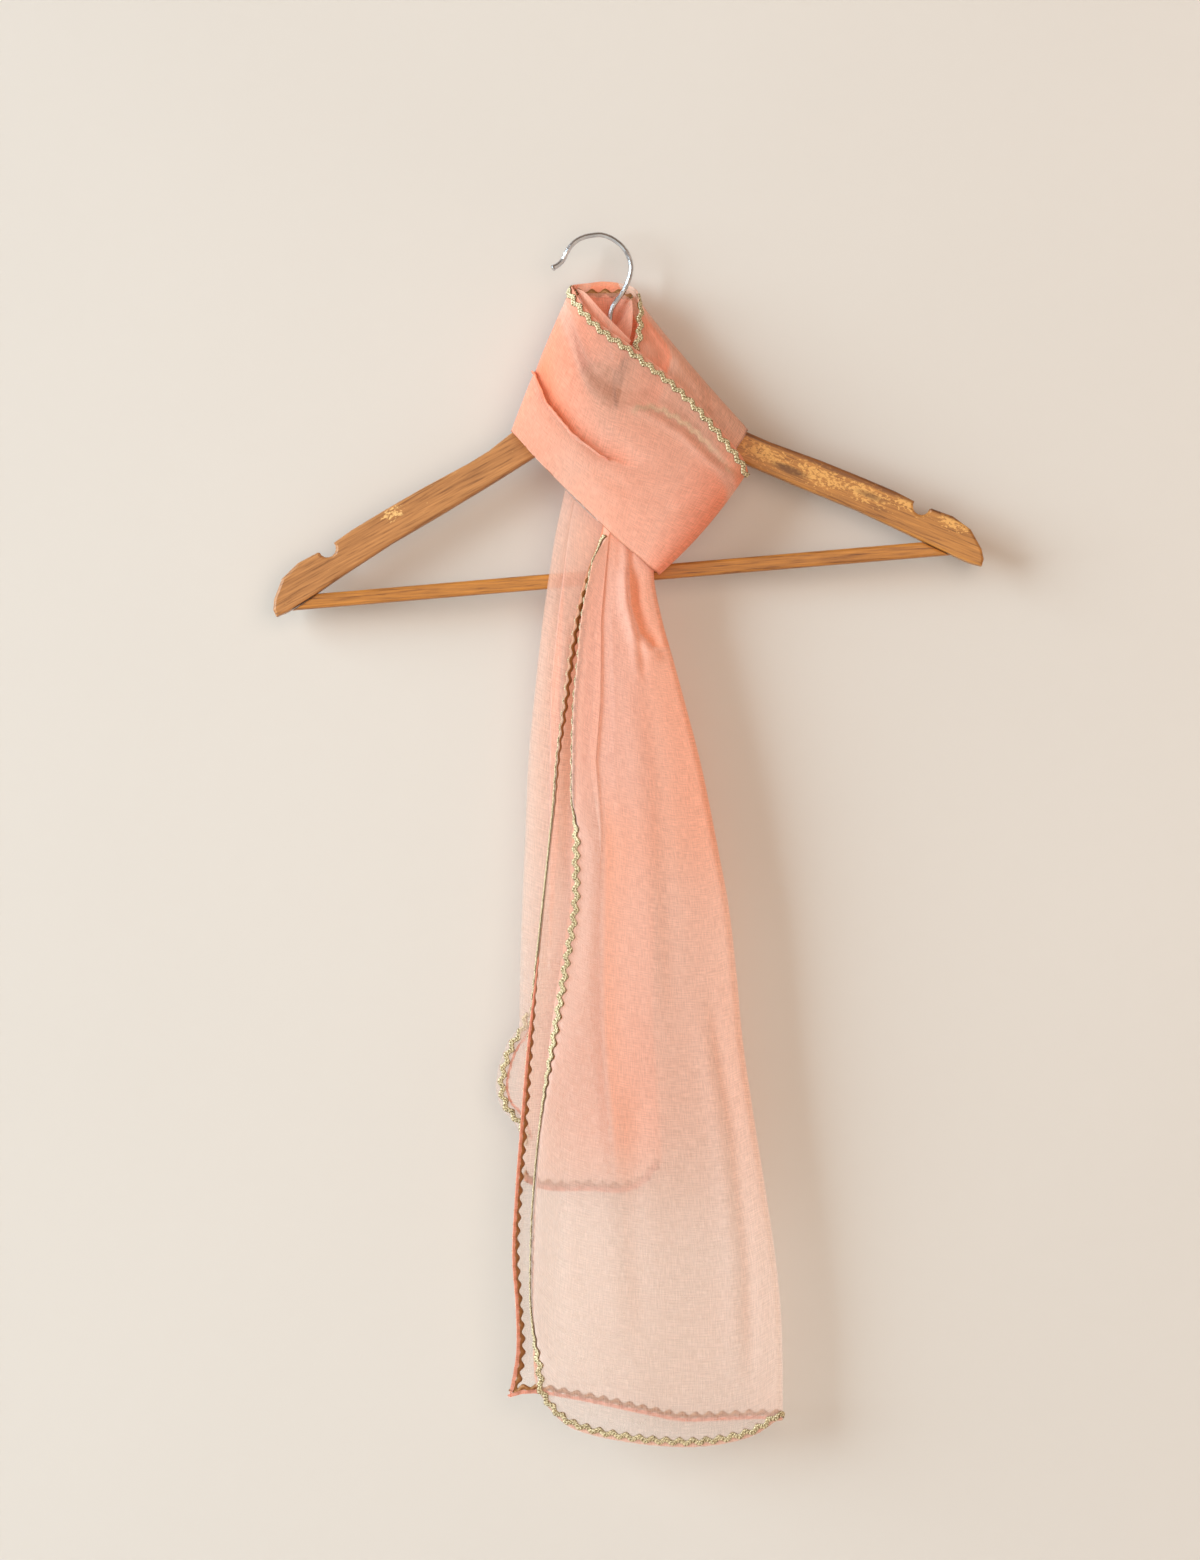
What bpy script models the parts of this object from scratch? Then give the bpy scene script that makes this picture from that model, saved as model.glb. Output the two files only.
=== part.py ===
"""A sheer dupatta stole looped and tied round the neck of a wooden clothes hanger.

Frame: metres, +Z up, +X to the wearer's left, the front faces -Y. The origin is the inner top of
the steel hook, where a nail or rail carries the whole thing. All sizes below are in millimetres.

The stole is one length of cloth folded in half along its length, so that both free edges, each
with a scalloped braid, lie on one side and the fold on the other. Its middle goes round the back
of the hook's neck. The end from the right comes down in front to the lower left and hangs as the
front tail. The end from the left crosses over it as the band, turns round behind it, and hangs as
the shorter back tail.
"""

import math
from collections import namedtuple

import bmesh
import bpy
import numpy as np

for old in list(bpy.data.objects):
    bpy.data.objects.remove(old, do_unlink=True)

MM = 0.001

# Driving dimensions ------------------------------------------------------------------------
TILT = math.radians(4.1)     # the hanger hangs with its left arm lower
WIRE_RADIUS = 1.6            # the hook's wire
WOOD_THICKNESS = 12.0        # front to back through the arms
BAR_THICKNESS = 9.0          # front to back through the trouser bar
ROUNDING = 1.6               # the wood's rounded edges
HANGER_AXIS = 3.5            # the hanger's middle, to the right of the point that it hangs from
WALL = 1.2                   # cloth, as a wall
GAP = 0.3                    # between pieces that touch
BRAID = 0.9                  # thickness of the braid
BRAID_FROM_EDGE = 1.7        # cloth edge to the braid's straight side
BRAID_WIDTH = 3.6            # mean width of the braid
SCALLOP = 0.9                # how far each scallop stands out from, or in from, that width
HALF_PITCH = 4.4             # from a scallop's tip to the next hollow
BRAID_GAP = 0.5              # braid to the cloth under it, which is curved
MARGIN = 7.0                 # the strip of cloth along a free edge that carries the braid


# Materials ---------------------------------------------------------------------------------
def finish(name, colour, roughness, metallic=0.0):
    """One plain material for a kind of piece."""
    material = bpy.data.materials.new(name)
    material.use_nodes = True
    shader = material.node_tree.nodes["Principled BSDF"]
    shader.inputs["Base Color"].default_value = (*colour, 1.0)
    shader.inputs["Roughness"].default_value = roughness
    shader.inputs["Metallic"].default_value = metallic
    return material


PEACH_CLOTH = finish("peach_cloth", (0.86, 0.42, 0.27), 0.75)
GOLD_BRAID = finish("gold_braid", (0.62, 0.53, 0.27), 0.45, 0.6)
HONEY_WOOD = finish("honey_wood", (0.48, 0.22, 0.07), 0.45)
BRIGHT_STEEL = finish("bright_steel", (0.62, 0.62, 0.63), 0.2, 1.0)

parts = bpy.data.collections.new("dupatta_stole_on_hanger")
cutters = bpy.data.collections.new("cutters")
bpy.context.scene.collection.children.link(parts)
bpy.context.scene.collection.children.link(cutters)


def add_object(name, data, material, collection=parts):
    """Links a new object and gives it its material."""
    piece = bpy.data.objects.new(name, data)
    if material:
        data.materials.append(material)
    collection.objects.link(piece)
    return piece


# Smooth curves through a table's rows ------------------------------------------------------
def slopes(at, values):
    """A slope for each row, from its neighbours on both sides."""
    steps = np.diff(values, axis=0) / np.diff(at)[:, None]
    inner = (steps[:-1] + steps[1:]) / 2
    return np.concatenate([steps[:1], inner, steps[-1:]])


def smooth(at, values, x):
    """The smooth curve through (at, values), read at each x. Past the ends it stays at the end."""
    at = np.asarray(at, float)
    values = np.asarray(values, float).reshape(len(at), -1)
    x = np.clip(np.atleast_1d(np.asarray(x, float)), at[0], at[-1])
    tangents = slopes(at, values)
    k = np.clip(np.searchsorted(at, x, side="right") - 1, 0, len(at) - 2)
    h = (at[k + 1] - at[k])[:, None]
    t = ((x - at[k]) / h[:, 0])[:, None]
    a = (1 + 2 * t) * (1 - t) ** 2
    b = t * (1 - t) ** 2
    c = t * t * (3 - 2 * t)
    d = t * t * (t - 1)
    return a * values[k] + b * h * tangents[k] + c * values[k + 1] + d * h * tangents[k + 1]


def column(table, name, x, key="z"):
    """One named column of a table, as a smooth function of its key column."""
    rows = sorted(table, key=lambda row: getattr(row, key))
    found = smooth([getattr(row, key) for row in rows], [getattr(row, name) for row in rows], x)
    return found[:, 0]


# Folds -------------------------------------------------------------------------------------
# A fold follows a line across the cloth as seen from the front. Its ridge stands out on one side
# of the line (to the right of the way that the line runs), its valley goes in on the other.
Fold = namedtuple("Fold", "line ridge valley width")
RIDGE_AT = 0.7               # how far from the line the ridge's top lies, in fold widths
VALLEY_AT = 0.5              # and the valley's bottom, on the other side
RIDGE_SLIMNESS = 1.6
VALLEY_SLIMNESS = 2.2
FOLD_END = 0.04              # a fold keeps a little height at both ends of its line


def fold_relief(x, z, folds):
    """How far the folds lift the cloth off its even surface at each (x, z)."""
    lift = np.zeros_like(x)
    for fold in folds:
        line = np.array(fold.line, float)
        nearest = np.full(x.shape, 1e9)
        side = np.zeros_like(x)
        run = np.zeros_like(x)
        lengths = np.linalg.norm(np.diff(line, axis=0), axis=1)
        before = 0.0
        for start, end, length in zip(line[:-1], line[1:], lengths):
            way = (end - start) / length
            along = np.clip((x - start[0]) * way[0] + (z - start[1]) * way[1], 0, length)
            dx = x - start[0] - along * way[0]
            dz = z - start[1] - along * way[1]
            distance = np.hypot(dx, dz)
            closer = distance < nearest
            nearest = np.where(closer, distance, nearest)
            side = np.where(closer, np.sign(dx * way[1] - dz * way[0]), side)
            run = np.where(closer, (before + along) / lengths.sum(), run)
            before += length
        taper = np.sqrt(np.sin(math.pi * np.clip(run, FOLD_END, 1 - FOLD_END)))
        offset = side * nearest / fold.width
        ridge = fold.ridge * np.exp(-((offset - RIDGE_AT) ** 2) * RIDGE_SLIMNESS)
        valley = fold.valley * np.exp(-((offset + VALLEY_AT) ** 2) * VALLEY_SLIMNESS)
        lift += taper * (ridge - valley)
    return lift


# Cloth -------------------------------------------------------------------------------------
def grid_normals(grid):
    """The direction that the cloth's face looks in, at each point of a grid (column, row, xyz)."""
    across = np.gradient(grid, axis=0)
    along = np.gradient(grid, axis=1)
    normals = np.cross(along, across)
    return normals / np.linalg.norm(normals, axis=2, keepdims=True)


def sheet_mesh(name, grid):
    """One open surface of four-sided faces over a grid of points in millimetres."""
    columns, rows = grid.shape[:2]
    mesh = bpy.data.meshes.new(name)
    faces = []
    for i in range(columns - 1):
        for j in range(rows - 1):
            corner = i * rows + j
            faces.append((corner, corner + rows, corner + rows + 1, corner + 1))
    mesh.from_pydata((grid.reshape(-1, 3) * MM).tolist(), [], faces)
    return mesh


def wall(name, grid, thickness, material):
    """The grid's surface with thickness, half of it on each side."""
    mesh = sheet_mesh(name, grid)
    piece = add_object(name, mesh, material)
    solidify = piece.modifiers.new("thickness", "SOLIDIFY")
    solidify.thickness = thickness * MM
    solidify.offset = 0.0
    solidify.use_even_offset = True
    mesh.shade_smooth()
    return piece


def braid(name, edge, inward, face):
    """A scalloped ribbon along a cloth edge: points of the edge, the way in from it over the
    cloth, and the way that the braid's side of the cloth looks. Each stretch of the edge is cut
    in steps of about half a scallop, and every other point of the inner side is a tip."""
    lift = WALL / 2 + BRAID_GAP + BRAID / 2
    outer, inner = [], []
    for k in range(len(edge) - 1):
        steps = max(1, round(np.linalg.norm(edge[k + 1] - edge[k]) / HALF_PITCH))
        last = k == len(edge) - 2
        for step in range(steps + (1 if last else 0)):
            t = step / steps
            point = edge[k] + (edge[k + 1] - edge[k]) * t
            way = inward[k] + (inward[k + 1] - inward[k]) * t
            way = way / np.linalg.norm(way)
            up = face[k] + (face[k + 1] - face[k]) * t
            up = up / np.linalg.norm(up)
            scallop = SCALLOP if len(outer) % 2 else -SCALLOP
            outer.append(point + way * BRAID_FROM_EDGE + up * lift)
            inner.append(point + way * (BRAID_FROM_EDGE + BRAID_WIDTH + scallop) + up * lift)
    return wall(name, np.array([outer, inner]), BRAID, GOLD_BRAID)


def edge_of(grid, path, side=1):
    """Points, inward ways and face ways along a path of grid indices ((i, j), (next i, next j)).
    The second index pair of each entry is the neighbour over the margin. The face is the side
    that the normals point to, or the other one where side is -1."""
    normals = grid_normals(grid) * side
    points = np.array([grid[a] for a, b in path])
    over = np.array([grid[b] for a, b in path])
    inward = over - points
    inward = inward / np.linalg.norm(inward, axis=1, keepdims=True)
    along = np.gradient((points + over) / 2, axis=0)
    face = np.cross(along, inward)
    looks = np.array([normals[b] for a, b in path])
    face = face * np.sign(np.sum(face * looks, axis=1, keepdims=True))
    face = face / np.linalg.norm(face, axis=1, keepdims=True)
    return points, inward, face


# Stretches of the loop ---------------------------------------------------------------------
# A row for each station along the cloth: its neck edge, its outer edge, how far the cloth stands
# out between them, and how far the row is bowed sideways and down from a straight line.
Station = namedtuple("Station", "neck_x neck_z neck_y outer_x outer_z outer_y crown bow_x bow_z")
PER_STATION = 2              # grid rows for each station


def loop_grid(stations, across, folds=(), face=1, bow_at=0.5):
    """The grid of a stretch: columns from the neck edge to the outer edge, rows along the run.
    The face is the sign that turns its normals outward, and bow_at is where a row bows most."""
    table = np.array(stations, float)
    count = len(table)
    at = np.linspace(0, count - 1, (count - 1) * PER_STATION + 1)
    rows = smooth(np.arange(count), table, at)
    neck = rows[:, [0, 2, 1]]
    outer = rows[:, [3, 5, 4]]
    width = float(np.median(np.linalg.norm(outer - neck, axis=1)))
    margin = min(MARGIN / width, 0.3)
    share = np.concatenate([[0.0], np.linspace(margin, 1.0, across)])[:, None, None]
    grid = neck + (outer - neck) * share
    bow = (share / bow_at) ** (bow_at / (1 - bow_at)) * (1 - share) / (1 - bow_at)
    grid = grid + bow * rows[:, 7:8] * (1.0, 0.0, 0.0) + bow * rows[:, 8:9] * (0.0, 0.0, 1.0)
    normals = grid_normals(grid) * face
    lift = np.sin(math.pi * share[:, :, 0]) * rows[:, 6]
    facing = np.clip(-normals[:, :, 1], 0, 1)
    lift = lift + fold_relief(grid[:, :, 0], grid[:, :, 2], folds) * facing
    return grid + normals * lift[:, :, None]


# The band: from the back seam round the left side, down across the front to the turned edge.
BAND = [
    #       neck_x neck_z neck_y outer_x outer_z outer_y crown bow_x bow_z
    Station(-4.0, -27.5, 9.0, -32.0, -130.0, 9.5, 0.0, 0.0, 0.0),
    Station(-12.5, -28.5, 8.0, -49.5, -117.5, 8.2, 0.5, 1.0, 0.0),
    Station(-16.2, -30.0, 1.5, -54.0, -121.4, 1.5, 0.0, 2.0, 0.0),
    Station(-15.0, -34.0, -7.0, -53.6, -122.4, -9.0, 0.5, 2.0, 0.0),
    Station(-10.5, -42.0, -14.0, -48.5, -128.0, -14.5, 2.5, 1.5, 0.0),
    Station(-2.5, -51.8, -17.5, -38.5, -139.5, -18.5, 5.0, 0.5, 0.0),
    Station(7.0, -60.0, -19.0, -24.0, -154.5, -20.5, 7.0, 0.0, 0.0),
    Station(17.0, -66.8, -20.0, -10.0, -168.5, -21.5, 7.5, 0.0, 0.0),
    Station(30.0, -77.0, -20.5, 3.0, -181.5, -22.0, 7.5, 0.0, 0.0),
    Station(46.0, -89.5, -20.5, 15.0, -192.8, -22.0, 7.0, 0.0, 0.0),
    Station(63.0, -106.0, -20.5, 25.5, -201.5, -22.0, 6.0, 0.3, -0.3),
    Station(79.0, -125.0, -20.5, 32.0, -207.5, -21.5, 5.0, 1.0, -1.0),
    Station(89.5, -138.5, -19.8, 36.0, -210.0, -20.5, 3.0, 1.7, -1.6),
    Station(93.3, -147.0, -15.8, 38.0, -211.8, -16.0, 0.5, 2.0, -1.8),
    Station(91.5, -145.3, -11.0, 37.0, -210.5, -11.4, 0.0, 1.7, -1.6),
    Station(86.0, -141.5, -9.1, 34.4, -206.5, -9.1, 0.0, 1.0, -1.0),
]
BAND_FOLDS = [
    Fold([(-38, -84), (-31, -105), (-15, -126), (2, -140), (20, -147)], 2.4, 3.4, 5.0),
    Fold([(21, -106), (38, -113), (54, -123), (70, -139), (88, -151)], 1.0, 1.8, 4.0),
    Fold([(-12, -60), (8, -86), (30, -104), (52, -118)], 0.8, 1.0, 5.0),
    Fold([(-6, -150), (18, -163), (42, -168), (64, -166)], 0.9, 0.9, 6.0),
]

# The right shoulder: from the back seam round the right side and down under the band.
SHOULDER = [
    Station(12.5, -27.5, 9.0, 62.0, -134.0, 9.5, 0.0, 0.0, 0.0),
    Station(20.0, -29.5, 7.5, 88.0, -117.0, 8.2, 0.5, -4.0, 0.0),
    Station(24.4, -33.0, 1.5, 93.4, -120.8, 2.5, 0.0, -6.5, 0.0),
    Station(25.0, -36.5, -4.0, 93.2, -120.8, -6.6, 0.5, -6.5, 0.0),
    Station(25.6, -42.5, -8.5, 91.0, -126.0, -11.2, 1.0, -5.5, 0.0),
    Station(25.6, -50.0, -11.2, 87.0, -132.0, -13.2, 1.5, -3.5, 0.0),
    Station(24.6, -58.0, -13.0, 82.5, -140.0, -14.4, 1.5, -1.5, 0.0),
    Station(21.5, -68.5, -14.6, 76.0, -152.0, -15.0, 1.0, 0.0, 0.0),
    Station(17.0, -86.0, -15.8, 68.0, -166.0, -15.5, 0.5, 0.0, 0.0),
    Station(12.5, -108.0, -16.6, 60.0, -178.0, -16.0, 0.5, 0.0, 0.0),
    Station(8.5, -134.0, -17.4, 50.0, -188.5, -17.0, 0.5, 0.0, 0.0),
    Station(5.5, -157.0, -18.0, 40.0, -196.5, -18.0, 0.3, 0.0, 0.0),
    Station(4.3, -176.2, -18.2, 31.4, -200.6, -18.2, 0.0, 0.0, 0.0),
]
SHOULDER_FOLDS = [
    Fold([(30, -46), (43, -66), (46, -76), (42, -92)], 1.4, 1.4, 4.0),
    Fold([(54, -76), (66, -96), (70, -118)], 0.8, 0.8, 5.0),
]

# The back of the collar, between the two back seams.
COLLAR_BACK = [
    Station(-4.0, -27.5, 9.0, -32.0, -130.0, 9.5, 0.0, 0.0, 0.0),
    Station(1.0, -26.8, 9.2, -12.0, -140.0, 9.8, 0.5, 0.0, 0.0),
    Station(6.5, -26.8, 9.2, 16.0, -144.0, 10.0, 0.5, 0.0, 0.0),
    Station(12.5, -27.5, 9.0, 62.0, -134.0, 9.5, 0.0, 0.0, 0.0),
]

# The inner layer at the neck, which narrows down to the hook's foot. Its neck edge shows inside
# the collar. It starts under the band's edge and ends under the band again, on the right.
COLLAR_INNER = [
    Station(20.5, -66.0, -17.0, 12.0, -75.0, -17.0, 0.0, 0.0, 0.0),
    Station(12.0, -57.5, -16.4, 4.0, -68.0, -16.0, 0.0, 0.0, 0.0),
    Station(2.0, -47.0, -14.8, -4.0, -62.0, -13.5, 0.0, 0.0, 0.0),
    Station(-7.0, -36.5, -11.0, -7.0, -58.0, -9.5, 0.0, 0.0, 0.0),
    Station(-12.3, -31.4, -5.6, -6.0, -55.0, -5.0, 0.0, 0.0, 0.0),
    Station(-13.0, -30.7, 0.3, -1.5, -54.0, -0.5, 0.0, 0.0, 0.0),
    Station(-9.8, -31.0, 5.6, 2.0, -53.5, 3.2, 0.0, 0.0, 0.0),
    Station(-2.0, -31.0, 7.5, 4.6, -53.5, 4.2, 0.0, 0.0, 0.0),
    Station(7.0, -31.0, 7.6, 7.0, -53.5, 4.4, 0.0, 0.0, 0.0),
    Station(15.2, -32.0, 6.6, 9.8, -54.0, 3.2, 0.0, 0.0, 0.0),
    Station(20.4, -36.0, 1.2, 11.4, -55.5, 0.5, 0.0, 0.0, 0.0),
    Station(21.4, -42.5, -4.8, 10.4, -57.5, -2.8, 0.0, 0.0, 0.0),
    Station(21.6, -50.5, -7.6, 9.2, -61.0, -4.5, 0.0, 0.0, 0.0),
    Station(20.8, -60.0, -9.4, 9.2, -67.0, -6.5, 0.0, 0.0, 0.0),
    Station(18.6, -69.0, -10.6, 9.5, -75.0, -8.0, 0.0, 0.0, 0.0),
]

# The return: the band's cloth turned back behind both layers of the front tail. Its rows swing
# round one corner, from the band's turned edge to the top of the back tail.
RETURN = [
    Station(86.0, -141.5, -9.1, 34.4, -206.5, -9.1, 0.0, 1.0, -1.0),
    Station(76.0, -137.0, -8.8, 33.0, -203.0, -8.8, 0.0, 0.5, -0.5),
    Station(61.0, -132.8, -8.8, 31.8, -200.2, -8.8, 0.0, 0.0, 0.0),
    Station(43.0, -130.8, -8.8, 30.4, -198.4, -8.8, 0.0, 0.0, 0.0),
    Station(25.0, -131.2, -8.8, 29.0, -197.3, -8.8, 0.0, 0.0, 0.0),
    Station(8.0, -135.5, -8.8, 27.7, -196.8, -8.8, 0.0, 0.0, 0.0),
    Station(-7.5, -144.0, -8.8, 26.5, -196.6, -8.8, 0.0, 0.0, 0.0),
    Station(-20.5, -157.4, -8.8, 25.2, -196.9, -8.8, 0.0, 0.0, 0.0),
]


# Tails -------------------------------------------------------------------------------------
# A tail is folded in two lengthwise, the fold on the right. A row for each height gives the front
# layer's free edge, the fold, the back layer's free edge, the depth of each layer, and how far
# each free margin is curled, in degrees, towards the other layer.
Tail = namedtuple("Tail", "z front fold back front_y back_y front_curl back_curl")
# The cloth's end: how low it hangs, at shares of the way from the free edge to the fold.
Hem = namedtuple("Hem", "share front_z back_z")

FRONT_TAIL = [
    #    z  front fold back front_y back_y front_curl back_curl
    Tail(-176, 4.3, 34.8, 4.0, -18.2, -12.2, 0, 0),
    Tail(-186, 2.8, 34.6, 1.8, -18.2, -12.2, 6, 4),
    Tail(-202, -0.8, 34.6, -4.2, -18.6, -12.2, 24, 10),
    Tail(-215, -3.5, 35.0, -8.6, -19.0, -12.2, 40, 26),
    Tail(-240, -8.0, 40.0, -14.4, -19.4, -12.0, 56, 50),
    Tail(-265, -10.8, 47.0, -18.4, -19.8, -11.8, 64, 58),
    Tail(-290, -14.0, 53.8, -21.4, -20.0, -11.6, 66, 60),
    Tail(-327, -15.5, 63.5, -26.2, -20.4, -11.5, 62, 60),
    Tail(-355, -15.7, 69.5, -29.5, -20.5, -11.3, 40, 56),
    Tail(-385, -15.8, 75.3, -32.6, -20.5, -11.0, 16, 46),
    Tail(-414, -15.8, 80.8, -35.5, -20.5, -10.8, 4, 32),
    Tail(-457, -22.6, 86.0, -40.0, -20.5, -10.5, 1, 12),
    Tail(-500, -29.4, 90.0, -44.6, -20.2, -10.2, 0, 2),
    Tail(-544, -34.4, 96.3, -47.5, -19.5, -10.0, 0, 0),
    Tail(-600, -38.9, 105.2, -50.8, -19.0, -9.5, 0, 0),
    Tail(-636, -40.2, 110.5, -52.4, -18.7, -9.5, 0, 0),
    Tail(-668, -40.5, 113.8, -50.2, -18.5, -9.5, 0, 0),
    Tail(-696, -40.2, 115.0, -51.0, -18.2, -9.5, 0, 0),
    Tail(-714, -39.2, 115.2, -53.8, -18.0, -9.5, 0, 0),
    Tail(-726, -38.2, 115.2, -56.4, -18.0, -9.5, 0, 0),
    Tail(-760, -36.0, 115.2, -57.0, -18.0, -9.5, 0, 0),
]
FRONT_TOP = [Hem(0.0, -176.9, -176.9), Hem(1.0, -201.9, -201.9)]
FRONT_HEM = [
    Hem(0.0, -714.0, -724.5),
    Hem(0.042, -727.5, -722.0),
    Hem(0.11, -739.0, -721.5),
    Hem(0.21, -745.5, -724.0),
    Hem(0.35, -750.0, -728.5),
    Hem(0.5, -753.0, -734.0),
    Hem(0.65, -754.0, -739.0),
    Hem(0.8, -751.5, -738.8),
    Hem(0.92, -746.0, -738.0),
    Hem(1.0, -738.0, -738.0),
]
FRONT_FOLDS = [
    Fold([(9, -178), (6, -202), (2.5, -240), (2, -290), (-1, -327), (3, -370)], 1.6, 2.0, 3.2),
    Fold([(2, -360), (4, -412), (-1, -457), (-5, -510)], 1.2, 1.6, 6.0),
    Fold([(19, -184), (20, -218), (26, -260), (33, -300)], 1.4, 1.4, 3.6),
    Fold([(27, -190), (27, -232), (32, -252), (44, -258)], 1.6, 1.8, 3.6),
    Fold([(24, -270), (32, -330), (38, -420), (44, -500)], 1.0, 1.2, 9.0),
    Fold([(66, -470), (82, -560), (90, -640), (92, -720)], 0.9, 1.4, 8.0),
    Fold([(18, -520), (16, -610), (22, -700)], 0.8, 1.0, 12.0),
]
BACK_LAYER_FOLDS = [
    Fold([(12, -190), (14, -260), (10, -340), (12, -430)], 1.2, 1.0, 6.0),
    Fold([(30, -260), (48, -360), (58, -470)], 1.0, 1.0, 9.0),
    Fold([(-20, -470), (-18, -580), (-22, -690)], 0.9, 0.9, 8.0),
]

BACK_TAIL = [
    Tail(-158, -20.5, 26.8, -20.0, -8.8, -6.1, 0, 0),
    Tail(-186, -26.5, 27.2, -26.0, -8.8, -6.1, 0, 0),
    Tail(-215, -31.0, 31.0, -30.5, -8.8, -6.1, 0, 0),
    Tail(-240, -34.5, 34.5, -34.0, -7.6, -4.5, 0, 0),
    Tail(-290, -40.0, 36.0, -39.0, -5.5, -1.5, 0, 0),
    Tail(-327, -43.4, 36.0, -42.0, -5.0, -0.5, 0, 0),
    Tail(-370, -45.2, 36.0, -44.0, -5.0, 0.0, 0, 0),
    Tail(-430, -47.8, 35.0, -46.8, -5.0, 0.0, 0, 0),
    Tail(-485, -49.0, 34.2, -48.0, -5.0, 0.0, 0, 0),
    Tail(-494, -49.0, 34.5, -50.0, -5.0, 0.0, 0, 0),
    Tail(-503, -49.0, 35.0, -56.2, -5.0, 0.0, 0, 0),
    Tail(-517, -48.8, 36.0, -61.6, -5.0, 0.0, 0, 0),
    Tail(-533, -48.5, 37.0, -62.4, -5.0, 0.0, 0, 0),
    Tail(-545, -48.2, 38.0, -57.2, -5.0, 0.0, 0, 0),
    Tail(-554, -47.8, 38.5, -50.0, -5.0, 0.0, 0, 0),
    Tail(-575, -47.0, 40.0, -46.5, -5.0, 0.0, 0, 0),
    Tail(-600, -46.0, 38.0, -45.0, -5.0, 0.0, 0, 0),
]
BACK_TOP = [Hem(0.0, -158.2, -158.2), Hem(1.0, -198.6, -198.6)]
BACK_HEM = [
    Hem(0.0, -589.0, -587.0),
    Hem(0.12, -594.0, -590.0),
    Hem(0.5, -595.5, -591.5),
    Hem(0.8, -595.5, -590.0),
    Hem(0.93, -589.0, -585.0),
    Hem(1.0, -579.5, -579.5),
]
BACK_FOLDS = [
    Fold([(-16, -236), (-18, -270), (-20, -340), (-22, -420)], 1.0, 1.2, 5.0),
    Fold([(4, -240), (6, -300), (0, -420), (2, -540)], 1.0, 1.2, 8.0),
]


CALM = 0.1                   # share of the width, at the margin and the fold, without folds
MOST_MARGIN = 0.25           # the margin's largest share of a narrow layer
ROUNDS = 4                   # the margin's share settles in so many rounds


def tail_layer(table, top, end, layer, heights, across, folds):
    """One layer of a tail as a grid. Column 0 is its free edge, column 1 lies a margin's width
    from it, and the rest are spaced evenly from there to the fold."""
    even = np.linspace(0.0, 1.0, across)[:, None]
    margin = np.full((1, len(heights)), CALM)
    for _ in range(ROUNDS):
        share = np.concatenate([np.zeros((1, len(heights))), margin + (1 - margin) * even])
        start_z = column(top, layer + "_z", share.ravel(), "share").reshape(share.shape)
        end_z = column(end, layer + "_z", share.ravel(), "share").reshape(share.shape)
        z = start_z + (end_z - start_z) * heights
        flat_z = z.ravel()
        edge = column(table, layer, flat_z).reshape(z.shape)
        fold = column(table, "fold", flat_z).reshape(z.shape)
        depth = column(table, layer + "_y", flat_z).reshape(z.shape)
        spread = column(table, "back_y", flat_z) - column(table, "front_y", flat_z)
        width = fold - spread.reshape(z.shape) / 2 - edge
        curl = np.radians(column(table, layer + "_curl", z[1]))
        strip = np.minimum(MARGIN, width[1] * MOST_MARGIN)
        margin = (strip * np.cos(curl) / width[1])[None, :]
    grid = np.stack([edge + width * share, depth, z], axis=2)
    outward = -1 if layer == "front" else 1
    lift = fold_relief(grid[:, :, 0], grid[:, :, 2], folds)
    calm = np.clip(np.minimum(share - margin, 1 - share) / CALM, 0, 1)
    grid[:, :, 1] += outward * lift * calm
    grid[0, :, 1] = grid[1, :, 1] - outward * strip * np.sin(curl)
    return grid


def tail_grid(table, top, end, heights, across, folds, back_folds):
    """The whole tail: the front layer, the turn at the fold, and the back layer."""
    front = tail_layer(table, top, end, "front", heights, across, folds)
    back = tail_layer(table, top, end, "back", heights, across, back_folds)
    middle = (front[-1] + back[-1]) / 2
    radius = (back[-1, :, 1] - front[-1, :, 1]) / 2
    turn = []
    for angle in (-45.0, 0.0, 45.0):
        bend = middle.copy()
        bend[:, 0] += radius * math.cos(math.radians(angle))
        bend[:, 1] += radius * math.sin(math.radians(angle))
        turn.append(bend)
    return np.concatenate([front, turn, back[::-1]])


# Wooden hanger -----------------------------------------------------------------------------
# Its sizes are in the hanger's own axes: s is the way out from its middle, b is up.
NECK_TOP = -77.5
NECK = [(GAP / 2, NECK_TOP), (10.0, NECK_TOP), (17.0, NECK_TOP - 3.5)]
ARM_TOP = [(30, -91), (45, -102), (64, -117), (81, -128.6), (94, -135.4), (126, -149.8),
           (150, -161.6), (170, -171.8), (180.6, -177.4)]
NOTCH_CENTRE = (186.0, -182.2)  # the round notch for straps near each tip
NOTCH_RADIUS = 5.5
NOTCH_START = 143.0          # degrees round the notch where its outline starts, and ends
NOTCH_END = 338.0
NOTCH_STEPS = 8
ARM_TIP = [(192.0, -184.2), (205.0, -190.0), (215.5, -199.0), (221.3, -211.5), (222.3, -218.0),
           (220.6, -222.4)]
ARM_LOW = [(213.3, -219.8), (195.1, -210.0), (177.0, -199.4), (146.0, -182.2), (112.0, -165.4),
           (80.0, -149.0), (52.0, -134.0), (26.0, -122.0), (9.0, -118.0), (GAP / 2, -117.5)]
BAR_HEIGHT = 9.2
BAR_LEFT_B = -214.4          # middle of the bar at its left end
BAR_RIGHT_B = -209.3         # and at its right end, a little higher
BAR_END_GAP = 0.45           # added at its mitred ends, where the rounded edges meet
BORE_DEPTH = 26.0
BORE_SIDES = 16
CUT_OVER = 20.0              # how far the bore's cutter stands out of the neck

hanger = bpy.data.objects.new("hanger", None)
hanger.rotation_euler = (0.0, -TILT, 0.0)
parts.objects.link(hanger)


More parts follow.
